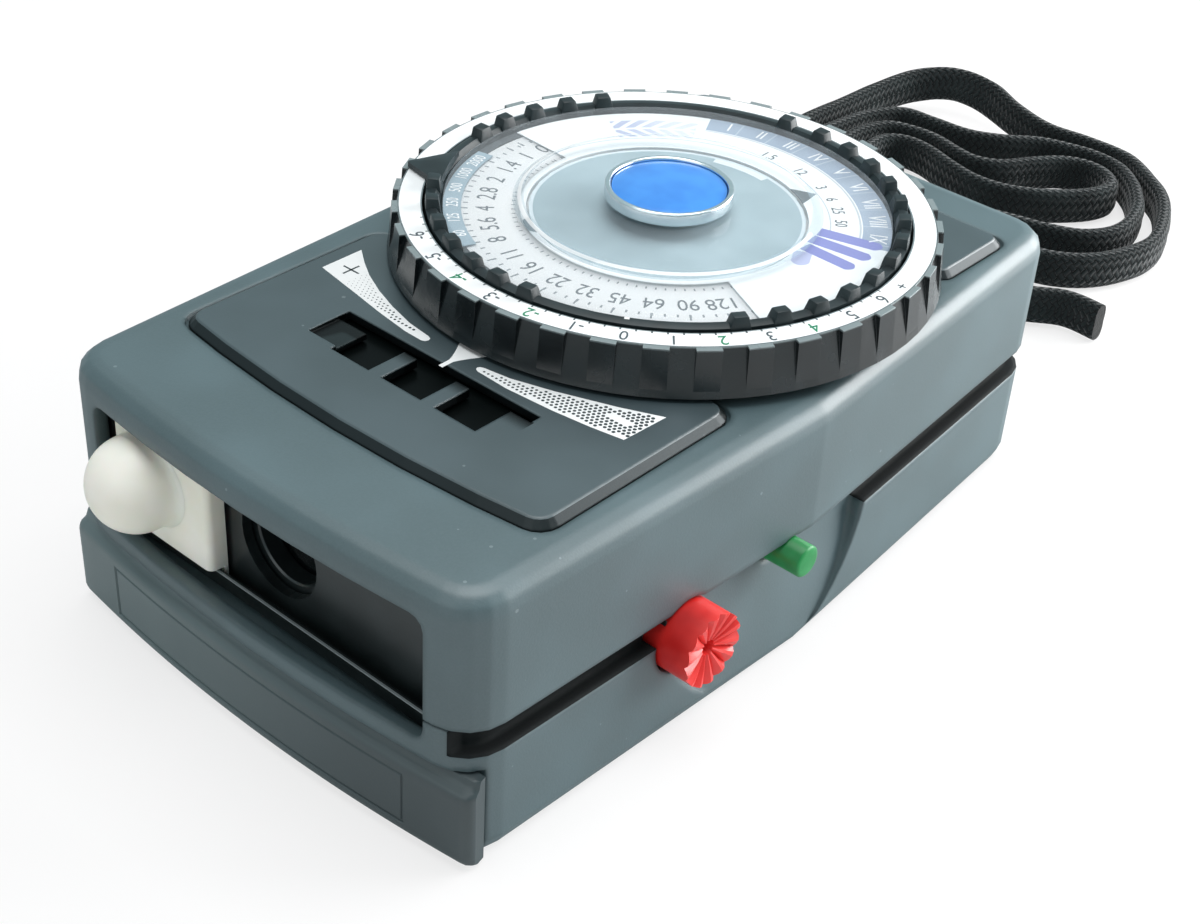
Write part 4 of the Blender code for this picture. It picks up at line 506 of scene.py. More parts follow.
# Scale disc
# A white printed disc on the floor of the ring, its rim raised close under the clear disc: the stop numbers in a
# circle between two rows of ticks, seen through the window of the sheet above.
scale_low, scale_high, scale_radius, scale_step, well_deep = 0.0388, 0.0404, 0.0261, 0.0173, 0.0009
first_stop, stop_apart, tick_apart = -33.5, 10.15, 3.3833
scale_white = Finish("scale_white", Specular_IOR_Level=0.35)
radius, angle = dial_place(scale_white)
cloud = scale_white.noise(0.010)
ticks = (radius.between(18.4, 18.9) + radius.between(24.1, 24.7)) * ((angle % tick_apart) < 0.60)
ticks = ticks + radius.between(24.1, 25.3) * (((angle + 3.5) % stop_apart) < 0.55)
shade = scale_white.mix(cloud.fade(0.3, 0.7), tone(248, 253, 255), tone(252, 255, 255))
scale_white.give(Base_Color=scale_white.mix(ticks.clamp() * 0.85, shade, tone(84, 100, 108)),
                 Roughness=0.45 + cloud * 0.1)
scale_white.dress("meter_needle")
begin(bpy.ops.mesh.primitive_cylinder_add, vertices=144, radius=scale_radius, depth=scale_high - scale_low,
      location=(0, dial_y, (scale_low + scale_high) / 2))
pick_middle(1)
bpy.ops.mesh.inset(thickness=scale_radius - scale_step)
push(0, 0, -well_deep)
bore(scale_step - shaft_radius, scale_radius - shaft_radius)
complete("stepped_scale", scale_white, "outer_dial", "white", "scale_disc", edge=0.00006)
words = [round_letters(number, 0.0033, 0.0219, first_stop - stop_apart * i, scale_high + 0.00001, 0.80)
         for i, number in enumerate("128 90 64 45 32 22 16 11 8 5.6 4 2.8 2 1.4 1 0.7 0.5 0.35".split())]
print_together(words, "scale_numbers", print_dark, "outer_dial", "black")

# Printed sheet under the clear disc
# A thin sheet: white, with a see-through window over the scale, a blue-grey band with the nine zones, a shorter
# band with speeds, three bars for film speeds and a hatched field.
sheet_low, sheet_high, sheet_radius, sheet_hole = 0.04058, 0.04070, 0.0271, 0.0171
words_high = sheet_high + 0.00002
begin(bpy.ops.mesh.primitive_cylinder_add, vertices=144, radius=sheet_radius, depth=sheet_high - sheet_low,
      location=(0, dial_y, (sheet_low + sheet_high) / 2))
bore(sheet_radius - sheet_hole, sheet_radius - sheet_hole)
printed = Finish("printed_sheet", Specular_IOR_Level=0.4)
radius, angle = dial_place(printed)
across, along = printed.x * 1000, printed.y * 1000 - dial_y * 1000


def bar_on(x, y, degrees, long, wide):
    """A bar with a rounded far end: where it starts in mm from the axis, the way it runs, its length and width"""
    turn = math.radians(degrees)
    out = (across - x) * math.cos(turn) + (along - y) * math.sin(turn)
    beside = abs((along - y) * math.cos(turn) - (across - x) * math.sin(turn))
    return (out > 0) * (out + beside * beside * 0.7 < long) * (beside < wide / 2)


zone_start, zone_end, zone_apart = 25, 118, 10.1
zones = sector(angle, zone_start, zone_end) * (radius > 23.6)
speeds = sector(angle, 192, 247) * (radius > 24.9)
window = sector(angle, 176, 333) * (radius > 17.9) * (1 - speeds)
bars = bar_on(15.9, 9.3, 16, 8.0, 2.0) + bar_on(16.3, 7.2, 8, 7.9, 2.0) + bar_on(16.9, 5.1, -1, 7.2, 1.9)
patch = bar_on(17.6, 3.9, -62, 3.4, 2.2)
chevron = abs(radius - 22.6)
stripes = ((angle * 0.40 + chevron) % 2.1) < 1.25
hatch = sector(angle, 121, 148) * radius.between(20.2, 25.0) * (chevron > 0.25) * stripes
arrow_turn, arrow_tip = math.radians(60), 19.6
arrow = abs(along * math.cos(arrow_turn) - across * math.sin(arrow_turn)) < (arrow_tip - radius) * 0.8
arrow = arrow * (radius < arrow_tip)
fine_lines = (radius.between(23.2, 23.45) * sector(angle, zone_start, zone_end)
              + radius.between(19.6, 19.8) * sector(angle, 32, 176))
cloud = printed.noise(0.012)
blue_grey = printed.mix(cloud.fade(0.3, 0.7), tone(140, 160, 182), tone(158, 176, 196))
hatch_tone = printed.mix((angle - 128).fade(0, 16), tone(206, 214, 232), tone(150, 160, 200))
shade = printed.mix(cloud.fade(0.3, 0.7), tone(240, 248, 250), tone(248, 252, 253))
shade = printed.mix(window, shade, tone(206, 220, 228))
shade = printed.mix(zones, shade, blue_grey)
shade = printed.mix(zones * (((angle - 7.0) % zone_apart) < 0.5), shade, tone(176, 192, 208))
shade = printed.mix(speeds, shade, tone(146, 170, 182))
shade = printed.mix(fine_lines * 0.6, shade, tone(140, 156, 170))
shade = printed.mix(hatch * 0.75, shade, hatch_tone)
shade = printed.mix(patch * 0.8, shade, tone(158, 166, 214))
shade = printed.mix(bars.clamp(), shade, tone(116, 124, 198))
shade = printed.mix(arrow, shade, tone(84, 98, 104))
printed.give(Base_Color=shade, Roughness=0.5 + cloud * 0.1, Alpha=1 - window * 0.95)
complete("disc_print", printed, "inner_dial", "white")
print_white = ink("print_white", 0.001, tone(240, 246, 248), tone(250, 252, 252))
words = [round_letters(number, 0.0031, 0.0254, 111.5 - zone_apart * i, words_high, 0.74)
         for i, number in enumerate("I II III IV V VI VII VIII IX".split())]
words += [round_letters(number, 0.0021, 0.0259, -162.6 + 8.6 * i, words_high, 0.72)
          for i, number in enumerate("2000 1000 500 250 125 60".split())]
print_together(words, "zone_numbers", print_white, "inner_dial", "white")
words = [round_letters(number, 0.0022, 0.0209, degrees, words_high, 0.8)
         for number, degrees in (("25", 47), ("50", 38), ("3", 64), ("6", 55), ("12", 77), ("1.5", 92))]
print_together(words, "sheet_numbers", print_dark, "inner_dial", "black")

# Centre disc
# A blue-grey disc under the step of the clear disc, with a pale rim. A white window and a small white mark are
# printed near its rim.
mark_turn, mark_start, mark_tip = math.radians(97), 10.9, 12.6
centre = Finish("centre_grey", Specular_IOR_Level=0.5)
radius, angle = dial_place(centre)
cloud = centre.noise(0.008)
shade = centre.mix(cloud.fade(0.3, 0.7), tone(150, 174, 182), tone(162, 186, 194))
shade = centre.mix(sector(angle, 80, 108) * (radius > 15.3), shade, tone(232, 242, 246))
shade = centre.mix(radius > 16.3, shade, tone(214, 228, 234))
across, along = centre.x * 1000, centre.y * 1000 - dial_y * 1000
out = across * math.cos(mark_turn) + along * math.sin(mark_turn)
beside = abs(along * math.cos(mark_turn) - across * math.sin(mark_turn))
shade = centre.mix((out > mark_start) * (beside < (mark_tip - out) * 0.6), shade, tone(232, 242, 246))
centre.give(Base_Color=shade, Roughness=0.40 + cloud * 0.1)
centre.dress("centre_disc", "trimmer")

# Clear disc
# Polished clear acrylic with a rounded step; the hub holds it down on the two printed discs.
clear_low, clear_high, step_foot, step_top, step_rim = 0.0408, 0.0417, 0.0186, 0.0180, 0.0004
step_rise, crown_rise = 0.0004, 0.0001
begin(bpy.ops.mesh.primitive_cylinder_add, vertices=144, radius=sheet_radius, depth=clear_high - clear_low,
      location=(0, dial_y, (clear_low + clear_high) / 2))
pick_middle(1)
bpy.ops.mesh.inset(thickness=sheet_radius - step_foot)
push(0, 0, step_rise)
widen(step_top / step_foot)
bpy.ops.mesh.inset(thickness=step_rim)
bpy.ops.transform.translate(value=(0, 0, crown_rise))
bore(step_top - step_rim - shaft_radius, sheet_radius - shaft_radius)
clear = Finish("clear_acrylic", Roughness=0.04, Specular_IOR_Level=0.7)
edge_on = Number(clear, clear.node("LayerWeight", {}, {"Blend": 0.25}, "Facing"))
radius, angle = dial_place(clear)
# painted reflection: a pale band and a white glint are painted on the step, and the whitish disc turns more opaque
# there and toward grazing angles
on_step = clear.z > clear_high - 0.0001
step_reflection = radius.between(17.45, 18.75) * on_step
glint = radius.between(17.75, 18.2) * on_step * (1 - sector(angle, 20, 60))
shade = clear.mix(clear.noise(0.01), tone(222, 232, 238), tone(232, 240, 245))
shade = clear.mix(glint, clear.mix(step_reflection, shade, tone(176, 196, 206)), tone(250, 253, 254))
haze_and_reflection = clear.noise(0.012) * 0.03 + edge_on * edge_on * 0.30 + step_reflection * 0.30 + glint * 0.35
clear.give(Base_Color=shade, Alpha=0.05 + haze_and_reflection)
complete("clear_disc_polished", clear, "inner_dial", "clear", "clear_disc", edge=0.00012)

# Lug ring
# A gloss black ring that turns in the rim scale: a wall with a groove inside it, a crown of lugs for the thumb
# and one long ridged pointer. A white mark is painted on it.
lug_black = Finish("lug_black", Specular_IOR_Level=0.45)
radius, angle = dial_place(lug_black)
cloud = lug_black.noise(0.003)
shade = lug_black.mix(cloud.fade(0.35, 0.7), tone(18, 28, 31), tone(27, 39, 42))
mark = sector(angle, -59.6, -58.4) * (radius > 27.2) * (radius < 28.4) * (lug_black.z > 0.0410)
shade = lug_black.mix(mark, shade, tone(240, 246, 246))
lug_black.give(Base_Color=shade, Roughness=0.34 + cloud * 0.16)
lug_black.bump(lug_black.noise(0.0005), 0.00002, 0.3)
wall_low, wall_high, wall_radius, lip_wide = 0.0398, 0.0416, 0.0292, 0.0012
begin(bpy.ops.mesh.primitive_cylinder_add, vertices=144, radius=wall_radius, depth=wall_high - wall_low,
      location=(0, dial_y, (wall_low + wall_high) / 2))
pick_middle(1)
for inward, up in ((0.0006, 0.0002), (0.0006, 0), (0.0005, -0.0006), (0.0001, 0)):
    bpy.ops.mesh.inset(thickness=inward)
    bpy.ops.transform.translate(value=(0, 0, up))
push(0, 0, -0.0007)
bore(lip_wide, lip_wide)
bpy.ops.mesh.select_all(action="SELECT")
bpy.ops.mesh.remove_doubles(threshold=0.000002)
bpy.ops.mesh.normals_make_consistent(inside=False)
bpy.ops.object.mode_set(mode="OBJECT")
crown = [bpy.context.object]
lug_at, lug_size, lug_shoulder = 0.0283, (0.0019, 0.0027, 0.0018), 0.0425
begin(bpy.ops.mesh.primitive_cube_add, size=1, scale=lug_size, location=(lug_at, 0, 0.0420))
pick(lambda place, way: place.z > lug_shoulder, "VERT")
stretch(0.90, 0.64, 1, (lug_at, 0, 0))
pick(lambda place, way: place.z > lug_shoulder and place.x < lug_at, "VERT")
bpy.ops.transform.translate(value=(0.0002, 0, -0.0001))
pick(lambda place, way: way.z < -0.9)
bpy.ops.mesh.delete(type="FACE")
bpy.ops.mesh.select_all(action="SELECT")
bpy.ops.mesh.bevel(offset=0.00016, segments=2, affect="EDGES")
bpy.ops.object.mode_set(mode="OBJECT")
lug = bpy.context.object


def onto_dial(degrees):
    """The move that takes a shape from the frame's X axis to its place round the dial"""
    return Matrix.Translation((0, dial_y, 0)) @ Matrix.Rotation(math.radians(degrees), 4, "Z")


for degrees in (326, 336, 346, 356, 6, 16, 26, 36, 46, 56, 66, 76, 86, 97, 148, 158, 168, 178, 187, 218, 228.5,
                239, 249, 259, 268, 277):
    copy = bpy.data.objects.new("lug", lug.data.copy())
    copy.data.transform(onto_dial(degrees))
    bpy.context.scene.collection.objects.link(copy)
    crown.append(copy)
bpy.data.objects.remove(lug)
pointer_at, pointer_root, pointer_tip = 210, 0.0292, 0.0320
begin(bpy.ops.mesh.primitive_cube_add, size=1, scale=(0.0052, 0.0092, 0.0013), location=(0.0299, 0, 0.04225))
bpy.ops.mesh.select_all(action="SELECT")
bpy.ops.mesh.bisect(plane_co=(0, 0, 0), plane_no=(0, 1, 0))
bpy.ops.mesh.bisect(plane_co=(pointer_root, 0, 0), plane_no=(1, 0, 0))
pick(lambda place, way: place.x > pointer_tip, "VERT")
stretch(1, 0.04, 0.5, (0, 0, wall_high))
pick(lambda place, way: abs(place.x - pointer_root) < 0.0002, "VERT")
stretch(1, 0.66, 1, (0, 0, 0))
pick(lambda place, way: place.z > lug_shoulder and abs(place.y) > 0.0015, "VERT")
bpy.ops.transform.translate(value=(0, 0, -0.0006))
bpy.ops.object.mode_set(mode="OBJECT")
bpy.context.object.data.transform(onto_dial(pointer_at))
crown.append(bpy.context.object)
bpy.ops.object.select_all(action="DESELECT")
for part in crown:
    part.select_set(True)
bpy.context.view_layer.objects.active = crown[0]
bpy.ops.object.join()
complete("lug_crown", lug_black, "inner_dial", "black", "lug_ring", sharp=28)

# Hub
# A turned bright collar with rounded rims holds a plain blue enamel dome.
collar_low, collar_high, collar_radius, dome_radius = 0.0425, 0.0442, 0.0078, 0.00695
bright = Finish("bright_metal", Metallic=1.0)
bright.give(Base_Color=bright.mix(bright.noise(0.002), tone(214, 220, 224), tone(228, 233, 236)),
            Roughness=0.16 + bright.noise(0.0008, 4.0) * 0.14)
bright.dress("photocell", "pot_body", "red_stem", "red_spring", "green_spring", "strap_pin", "meter_case",
             "meter_core", "capacitor", "battery", *("housing_screw_%d" % n for n in range(1, 5)))
begin(bpy.ops.mesh.primitive_cylinder_add, vertices=96, radius=collar_radius, depth=collar_high - collar_low,
      location=(0, dial_y, (collar_low + collar_high) / 2))
pick_middle(1)
bpy.ops.mesh.inset(thickness=0.0007)
push(0, 0, -0.0011)
complete("hub_collar", bright, "inner_dial", "steel", "hub_bezel", edge=0.00028, round_off=4)
enamel = Finish("blue_enamel", Coat_Weight=0.5, Coat_Roughness=0.06)
enamel.give(Base_Color=enamel.mix(enamel.noise(0.004).fade(0.3, 0.7), tone(50, 132, 222), tone(62, 146, 232)),
            Roughness=0.26 + enamel.noise(0.001) * 0.08)
begin(bpy.ops.mesh.primitive_cylinder_add, vertices=96, radius=dome_radius, depth=0.0006,
      location=(0, dial_y, 0.0435))
pick_middle(1)
for inward, up in ((0.0006, 0.00016), (0.0010, 0.00012), (0.0018, 0.00008), (0.0020, 0.00004)):
    bpy.ops.mesh.inset(thickness=inward)
    bpy.ops.transform.translate(value=(0, 0, up))
complete("hub_dome", enamel, "inner_dial", "blue", "hub_badge", sharp=60)

# Print on the front plate
# Two white wedges with dark dots, a plus and a minus sign and a white arrow that reads against the rim scale.
# The dots of each wedge grow toward its right end.
plate_top = 0.03501
dot_high = plate_top + 0.00002


def flat_shape(points, z, deep=0.000012):
    """A flat shape with straight sides, its points in mm, made a mesh"""
    bpy.ops.object.select_all(action="DESELECT")
    outline = bpy.data.curves.new("outline", "CURVE")
    outline.dimensions, outline.fill_mode, outline.extrude = "2D", "BOTH", deep
    line = outline.splines.new("POLY")
    line.points.add(len(points) - 1)
    for point, (x, y) in zip(line.points, points):
        point.co = (x / 1000, y / 1000, 0, 1)
    line.use_cyclic_u = True
    shape = bpy.data.objects.new("shape", outline)
    bpy.context.scene.collection.objects.link(shape)
    bpy.context.view_layer.objects.active = shape
    shape.select_set(True)
    bpy.ops.object.convert(target="MESH")
    bpy.context.object.location = (0, 0, z)
    bpy.ops.object.transform_apply()
    return bpy.context.object


def height_of(line, x):
    """How far back a bent line lies at a place across"""
    for (x1, y1), (x2, y2) in zip(line, line[1:]):
        if x1 <= x <= x2:
            return y1 + (y2 - y1) * (x - x1) / (x2 - x1)
    return line[0][1]


left_far = [(-25.25, -15.0), (-22.6, -16.9), (-20, -18.5), (-16.6, -20.1), (-13, -21.4), (-9, -22.5), (-5.4, -22.95)]
left_near = [(-25.25, -21.25), (-18, -22.5), (-13, -23.4), (-8, -24.1), (-5.4, -24.15)]
right_far = [(3.5, -23.15), (7, -22.6), (12, -21.0), (19, -18.25), (23.85, -16.0)]
right_near = [(3.5, -24.15), (8, -24.35), (14.5, -23.9), (19.5, -23.25), (23.5, -22.5)]
left_wedge = flat_shape(left_far + [(-4.95, -23.15), (-4.8, -23.55), (-4.95, -23.95)] + left_near[::-1], plate_top)
right_wedge = flat_shape(right_far + right_near[::-1] + [(3.1, -23.95), (2.95, -23.65), (3.1, -23.35)], plate_top)
arrow = flat_shape([(-2.2, -21.1), (2.2, -21.1), (1.15, -22.9), (0.55, -24.1), (0.32, -24.75), (0.30, -26.4),
                    (-0.30, -26.4), (-0.32, -24.75), (-0.55, -24.1), (-1.15, -22.9)], plate_top)
plate_white = ink("plate_white", 0.002, tone(240, 245, 245), tone(248, 251, 251))
print_together([left_wedge, right_wedge, arrow], "plate_marks", plate_white, "housing", "white")

plus_place, stroke_long, stroke_wide, stroke_deep = (-0.0225, -0.01915, dot_high), 0.0026, 0.00026, 0.00001
begin(bpy.ops.mesh.primitive_cube_add, size=1, scale=(stroke_long, stroke_wide, stroke_deep), location=plus_place)
bpy.ops.mesh.select_all(action="DESELECT")
bpy.ops.mesh.primitive_cube_add(size=1, scale=(stroke_wide, stroke_long, stroke_deep), location=plus_place)
column_step, row_step, row_start, margin = 0.62, 0.50, -15.2, 0.28
minus_x, minus_y, minus_half_long, minus_half_wide = 20.75, -20.0, 1.6, 0.42
for far, near, first, last, thin, thick in ((left_far, left_near, -20.6, -5.6, 0.05, 0.215),
                                            (right_far, right_near, 3.8, 23.4, 0.155, 0.235)):
    for row in range(20):
        for column in range(34):
            x, y = first + column_step * (column + (row % 2) / 2), row_start - row_step * row
            size = thin + (thick - thin) * ((x - first) / (last - first))
            edge = size + margin
            on_wedge = x <= last and height_of(near, x) + edge < y < height_of(far, x) - edge
            on_minus = abs(x - minus_x) < minus_half_long and abs(y - minus_y) < minus_half_wide
            if on_wedge and not on_minus:
                bpy.ops.mesh.primitive_circle_add(vertices=8, radius=size / 1000, fill_type="NGON",
                                                  location=(x / 1000, y / 1000, dot_high))
plate_dark = ink("plate_dark", 0.002, tone(40, 50, 53), tone(52, 63, 66), 0.6, 0.45)
complete("plate_dots", plate_dark, "housing", "black")

# Diffuser
# A dome and its carrier in one ivory moulding, smooth and slightly waxy. Its foot runs in the rails of the dark
# frame, and the dome flares softly into the plate on the side toward the sensor.
carrier_size, carrier_place = (0.0156, 0.0024, 0.0137), (-0.0162, -0.0518, 0.02275)
carrier_left, carrier_right, carrier_front = -0.0238, -0.0086, -0.0515
runner_front, runner_tall, right_round, left_round = -0.0510, 0.0014, 0.0009, 0.0004
dome_x, dome_y, dome_z, dome_radius = -0.0186, -0.0545, 0.02355, 0.0056
ivory = Finish("ivory_moulding", Specular_IOR_Level=0.5, Subsurface_Weight=0.12, Subsurface_Scale=0.002)
cloud = ivory.noise(0.006)
ivory.give(Base_Color=ivory.mix(cloud.fade(0.3, 0.7), tone(246, 245, 230), tone(252, 251, 240)),
           Roughness=0.30 + cloud * 0.12)
ivory.bump(ivory.noise(0.0012), 0.00002, 0.3)
begin(bpy.ops.mesh.primitive_cube_add, size=1, scale=carrier_size, location=carrier_place)
bpy.ops.mesh.select_all(action="SELECT")
bpy.ops.mesh.bisect(plane_co=(0, runner_front, 0), plane_no=(0, 1, 0))
for side in (1, -1):
    pick(lambda place, way: way.z * side > 0.9 and place.y > runner_front)
    push(0, 0, runner_tall * side)
pick(lambda place, way: abs(way.z) > 0.9 and place.y < carrier_front and place.x > carrier_right, "EDGE")
bpy.ops.mesh.bevel(offset=right_round, segments=5)
pick(lambda place, way: abs(way.z) > 0.9 and place.y < carrier_front and place.x < carrier_left, "EDGE")
bpy.ops.mesh.bevel(offset=left_round, segments=3)
bpy.ops.mesh.select_all(action="DESELECT")
bpy.ops.mesh.primitive_uv_sphere_add(segments=64, ring_count=32, radius=dome_radius,
                                     location=(dome_x, dome_y, dome_z), rotation=(math.radians(90), 0, 0))
bpy.ops.mesh.bisect(plane_co=(0, dome_y, 0), plane_no=(0, 1, 0), clear_outer=True)
pick(lambda place, way: abs(place.y - dome_y) < 0.00001, "EDGE")
for back, wide, tall in ((0.0006, 1, 1), (0.0004, 1.014, 1.008), (0.0003, 1.026, 1.012), (0.00018, 1.036, 1.012)):
    push(0, back, 0)
    stretch(wide, 1, tall, (dome_x - dome_radius, 0, dome_z))
complete("dome_carrier", ivory, "diffuser", "ivory", "diffuser", sharp=50)

# Front bar
# A bowed charcoal bar let into the lower shell under the slot: a hollow along its upper edge, round ends, and a
# shallow framed field on its face.
bar_front, bow_radius, bar_reach, end_pivot = -0.0562, 0.2415, 0.0312, -0.0513
field_half, field_low, field_high = 0.0252, 0.0021, 0.0093
bar = Finish("smooth_charcoal", Specular_IOR_Level=0.9)
cloud = bar.noise(0.014)
grain = bar.noise(0.0003, 3.0)
# painted light: the bar's face is painted lighter at its left end and darker toward its right end
shade = bar.mix((bar.x * 1000).fade(-20, 26), tone(92, 108, 110), tone(46, 58, 61))
bar.give(Base_Color=bar.mix(cloud.fade(0.35, 0.7) * 0.2, shade, tone(70, 84, 88)),
         Roughness=0.36 + cloud * 0.08 + grain * 0.05)
bar.bump(grain, 0.00003, 0.35)
bow_centre = (0, bar_front + bow_radius, 0)
half_turn = math.asin(bar_reach / bow_radius)
flat_shape([(2.9, 0.5), (1.2, 0.5), (0.75, 0.6), (0.38, 0.85), (0.12, 1.25), (0, 1.75), (0, 2.1), (0, 9.3),
            (0, 9.9), (0.08, 10.3), (0.35, 10.62), (0.8, 10.8), (1.12, 11.05), (1.32, 11.45), (1.5, 11.85),
            (1.75, 12.0), (2.9, 12.0)], 0, 0)
upright = Matrix.Rotation(math.radians(90), 4, "Z") @ Matrix.Rotation(math.radians(90), 4, "X")
bpy.context.object.matrix_world = Matrix.Translation((0, bar_front, 0)) @ upright
bpy.ops.object.transform_apply()
bpy.ops.object.mode_set(mode="EDIT")
bpy.ops.mesh.select_all(action="SELECT")
bpy.ops.mesh.remove_doubles(threshold=0.000002)
bpy.ops.mesh.dissolve_faces()
bpy.ops.transform.rotate(value=-half_turn, orient_axis="Z", center_override=bow_centre)
bpy.ops.mesh.spin(steps=26, angle=2 * half_turn, center=bow_centre, axis=(0, 0, 1))
bpy.ops.mesh.select_all(action="SELECT")
bpy.ops.mesh.normals_make_consistent(inside=False)
for side in (-1, 1):
    pick(lambda place, way: way.x * side > 0.9)
    for out, deep in ((0.0007, 0.93), (0.0004, 0.85), (0.0002, 0.75)):
        push(out * side, 0, 0)
        stretch(1, deep, 1, (0, end_pivot, 0))
pick(lambda place, way: way.y < -0.9 and abs(place.x) < field_half and field_low < place.z < field_high)
for wide, deep in ((0.00012, -0.00022), (0.00022, 0), (0.00012, 0.00016)):
    bpy.ops.mesh.inset(thickness=wide, depth=deep)
complete("bowed_bar", bar, "housing", "shell", "front_bar", sharp=32)

# Red key
# A red knob on a steel stem: fourteen rounded flutes run from its rim down to a small hollow in the middle. It
# is pressed to let the needle go and turned to lock it.
key_y, key_z, key_radius, stem_radius, flutes = -0.0213, 0.0135, 0.0045, 0.0018, 14
key_x, key_long, face_x, bright_from, hollow_deep, stem_deep = 0.0334, 0.0076, 0.0358, 0.0353, 0.0009, 0.0040
red = Finish("red_moulding", Specular_IOR_Level=0.6)
cloud = red.noise(0.003)
shade = red.mix(cloud.fade(0.3, 0.7), tone(206, 30, 28), tone(222, 42, 38))
# painted light: the knob is painted lighter where its head stands out toward the face
shade = red.mix((red.x - bright_from).fade(0, 0.0016) * 0.5, shade, tone(238, 62, 56))
red.give(Base_Color=shade, Roughness=0.30 + red.noise(0.0008) * 0.12)
red.bump(red.noise(0.0005), 0.00002, 0.25)


def key_flute(place):
    """Distance from the key's axis, and which of the four points of its flute stands there"""
    across, up = place.y - key_y, place.z - key_z
    return math.hypot(across, up), round(math.degrees(math.atan2(up, across)) / (90 / flutes)) % 4


begin(bpy.ops.mesh.primitive_cylinder_add, vertices=4 * flutes, radius=key_radius, depth=key_long,
      location=(key_x, key_y, key_z), rotation=(0, math.radians(90), 0))
pick(lambda place, way: way.x > 0.9)
for inward, down in ((0.0005, 0), (0.0014, -0.0003), (0.0016, -0.0005)):
    bpy.ops.mesh.inset(thickness=inward)
    bpy.ops.transform.translate(value=(down, 0, 0))
push(-hollow_deep, 0, 0)
stretch(1, 0.8, 0.8, (0, key_y, key_z))
for circle, falls in ((key_radius, (0.00046, 0.00014, 0, 0.00007)), (0.0040, (0.00074, 0.00026, 0, 0.00010)),
                      (0.0026, (0.00080, 0.00030, 0, 0.00012)), (0.0010, (0.00030, 0.00012, 0, 0.00005))):
    for which, fall in enumerate(falls):
        pick(lambda place, way: place.x > face_x and abs(key_flute(place)[0] - circle) < 0.0001
             and key_flute(place)[1] == which, "VERT")
        bpy.ops.transform.translate(value=(-fall, 0, 0))
pick(lambda place, way: way.x < -0.9)
bpy.ops.mesh.inset(thickness=key_radius - stem_radius)
push(stem_deep, 0, 0)
complete("fluted_key", red, "red_head", "red", "red_key", sharp=24)

# Green key
# A plain green pin with a rounded nose; its collar inside the wall keeps it in and its thin end works a switch.
pin_x, pin_y, pin_z, pin_radius, pin_long, pin_back = 0.03105, -0.0036, 0.0155, 0.0020, 0.0101, 0.0275
pin_axis = (0, pin_y, pin_z)
green = Finish("green_moulding", Specular_IOR_Level=0.5)
cloud = green.noise(0.003)
green.give(Base_Color=green.mix(cloud.fade(0.3, 0.7), tone(8, 124, 58), tone(20, 142, 72)),
           Roughness=0.34 + green.noise(0.0008) * 0.12)
green.bump(green.noise(0.0005), 0.00002, 0.25)
begin(bpy.ops.mesh.primitive_cylinder_add, vertices=48, radius=pin_radius, depth=pin_long,
      location=(pin_x, pin_y, pin_z), rotation=(0, math.radians(90), 0))
pick(lambda place, way: way.x > 0.9)
for out, wide in ((0.00012, 0.95), (0.00009, 0.92), (0.00006, 0.85)):
    push(out, 0, 0)
    stretch(1, wide, wide, pin_axis)
for wide, back in ((1.45, -0.0009), (0.345, -0.0066)):
    pick(lambda place, way: way.x < -0.9 and place.x < pin_back)
    push(0, 0, 0)
    stretch(1, wide, wide, pin_axis)
    push(back, 0, 0)
complete("nosed_pin", green, "green_press", "green", "green_key", sharp=40)

# Lens
# A clear disc with a bevelled rim, seated in the tube.
tube_z, lens_y, lens_radius, lens_deep, lens_bevel = 0.0225, -0.0454, 0.0054, 0.0016, 0.0004
lens = Finish("clear_lens", Roughness=0.05, Specular_IOR_Level=0.6)
lens.give(Base_Color=lens.mix(lens.noise(0.003), tone(14, 18, 20), tone(22, 28, 30)),
          Alpha=0.62 + lens.noise(0.002) * 0.1)
begin(bpy.ops.mesh.primitive_cylinder_add, vertices=64, radius=lens_radius, depth=lens_deep,
      location=(0, lens_y, tube_z), rotation=(math.radians(90), 0, 0))
pick(lambda place, way: way.y < -0.9)
bpy.ops.mesh.inset(thickness=lens_bevel)
bpy.ops.transform.translate(value=(0, 0.0001, 0))
complete("lens_disc", lens, "housing", "clear", "sensor_lens", sharp=30)

# Sensor tube
# A soft black tube behind the round hole of the frame. Its mouth is bevelled, and a small tab hangs into it from
# above; the tab is painted grey in the dark finish and its lower edge carries a painted highlight.
tube_radius, mouth_radius, throat_radius, seat_radius, mouth_bevel = 0.0072, 0.0053, 0.0051, 0.0057, 0.0002
tube_y, tube_long, throat_long, seat_long, tube_back = -0.0447, 0.0080, 0.0020, 0.0056, -0.0410
tab_size, tab_place = (0.0053, 0.0011, 0.0050), (0, -0.04814, 0.0256)
begin(bpy.ops.mesh.primitive_cylinder_add, vertices=64, radius=tube_radius, depth=tube_long,
      location=(0, tube_y, tube_z), rotation=(math.radians(90), 0, 0))
pick(lambda place, way: way.y < -0.9)
bpy.ops.mesh.inset(thickness=tube_radius - mouth_radius)
bpy.ops.mesh.inset(thickness=mouth_bevel)
bpy.ops.transform.translate(value=(0, mouth_bevel, 0))
push(0, throat_long, 0)
push(0, 0, 0)
stretch(seat_radius / throat_radius, 1, seat_radius / throat_radius, (0, 0, tube_z))
push(0, seat_long, 0)
bpy.ops.mesh.delete(type="FACE")
pick(lambda place, way: way.y > 0.9 and abs(place.x) < 0.0001 and place.y > tube_back)
bpy.ops.mesh.inset(thickness=tube_radius - seat_radius)
bpy.ops.mesh.delete(type="FACE")
bpy.ops.mesh.primitive_cube_add(size=1, scale=tab_size, location=tab_place)
pick(lambda place, way: abs(way.x) > 0.9 and place.z < 0.0232 and place.y < -0.0486 and abs(place.x) < 0.0002, "EDGE")
bpy.ops.mesh.bevel(offset=0.0006, segments=1)
complete("stepped_tube", dark, "housing", "black", "sensor_tube", sharp=30)

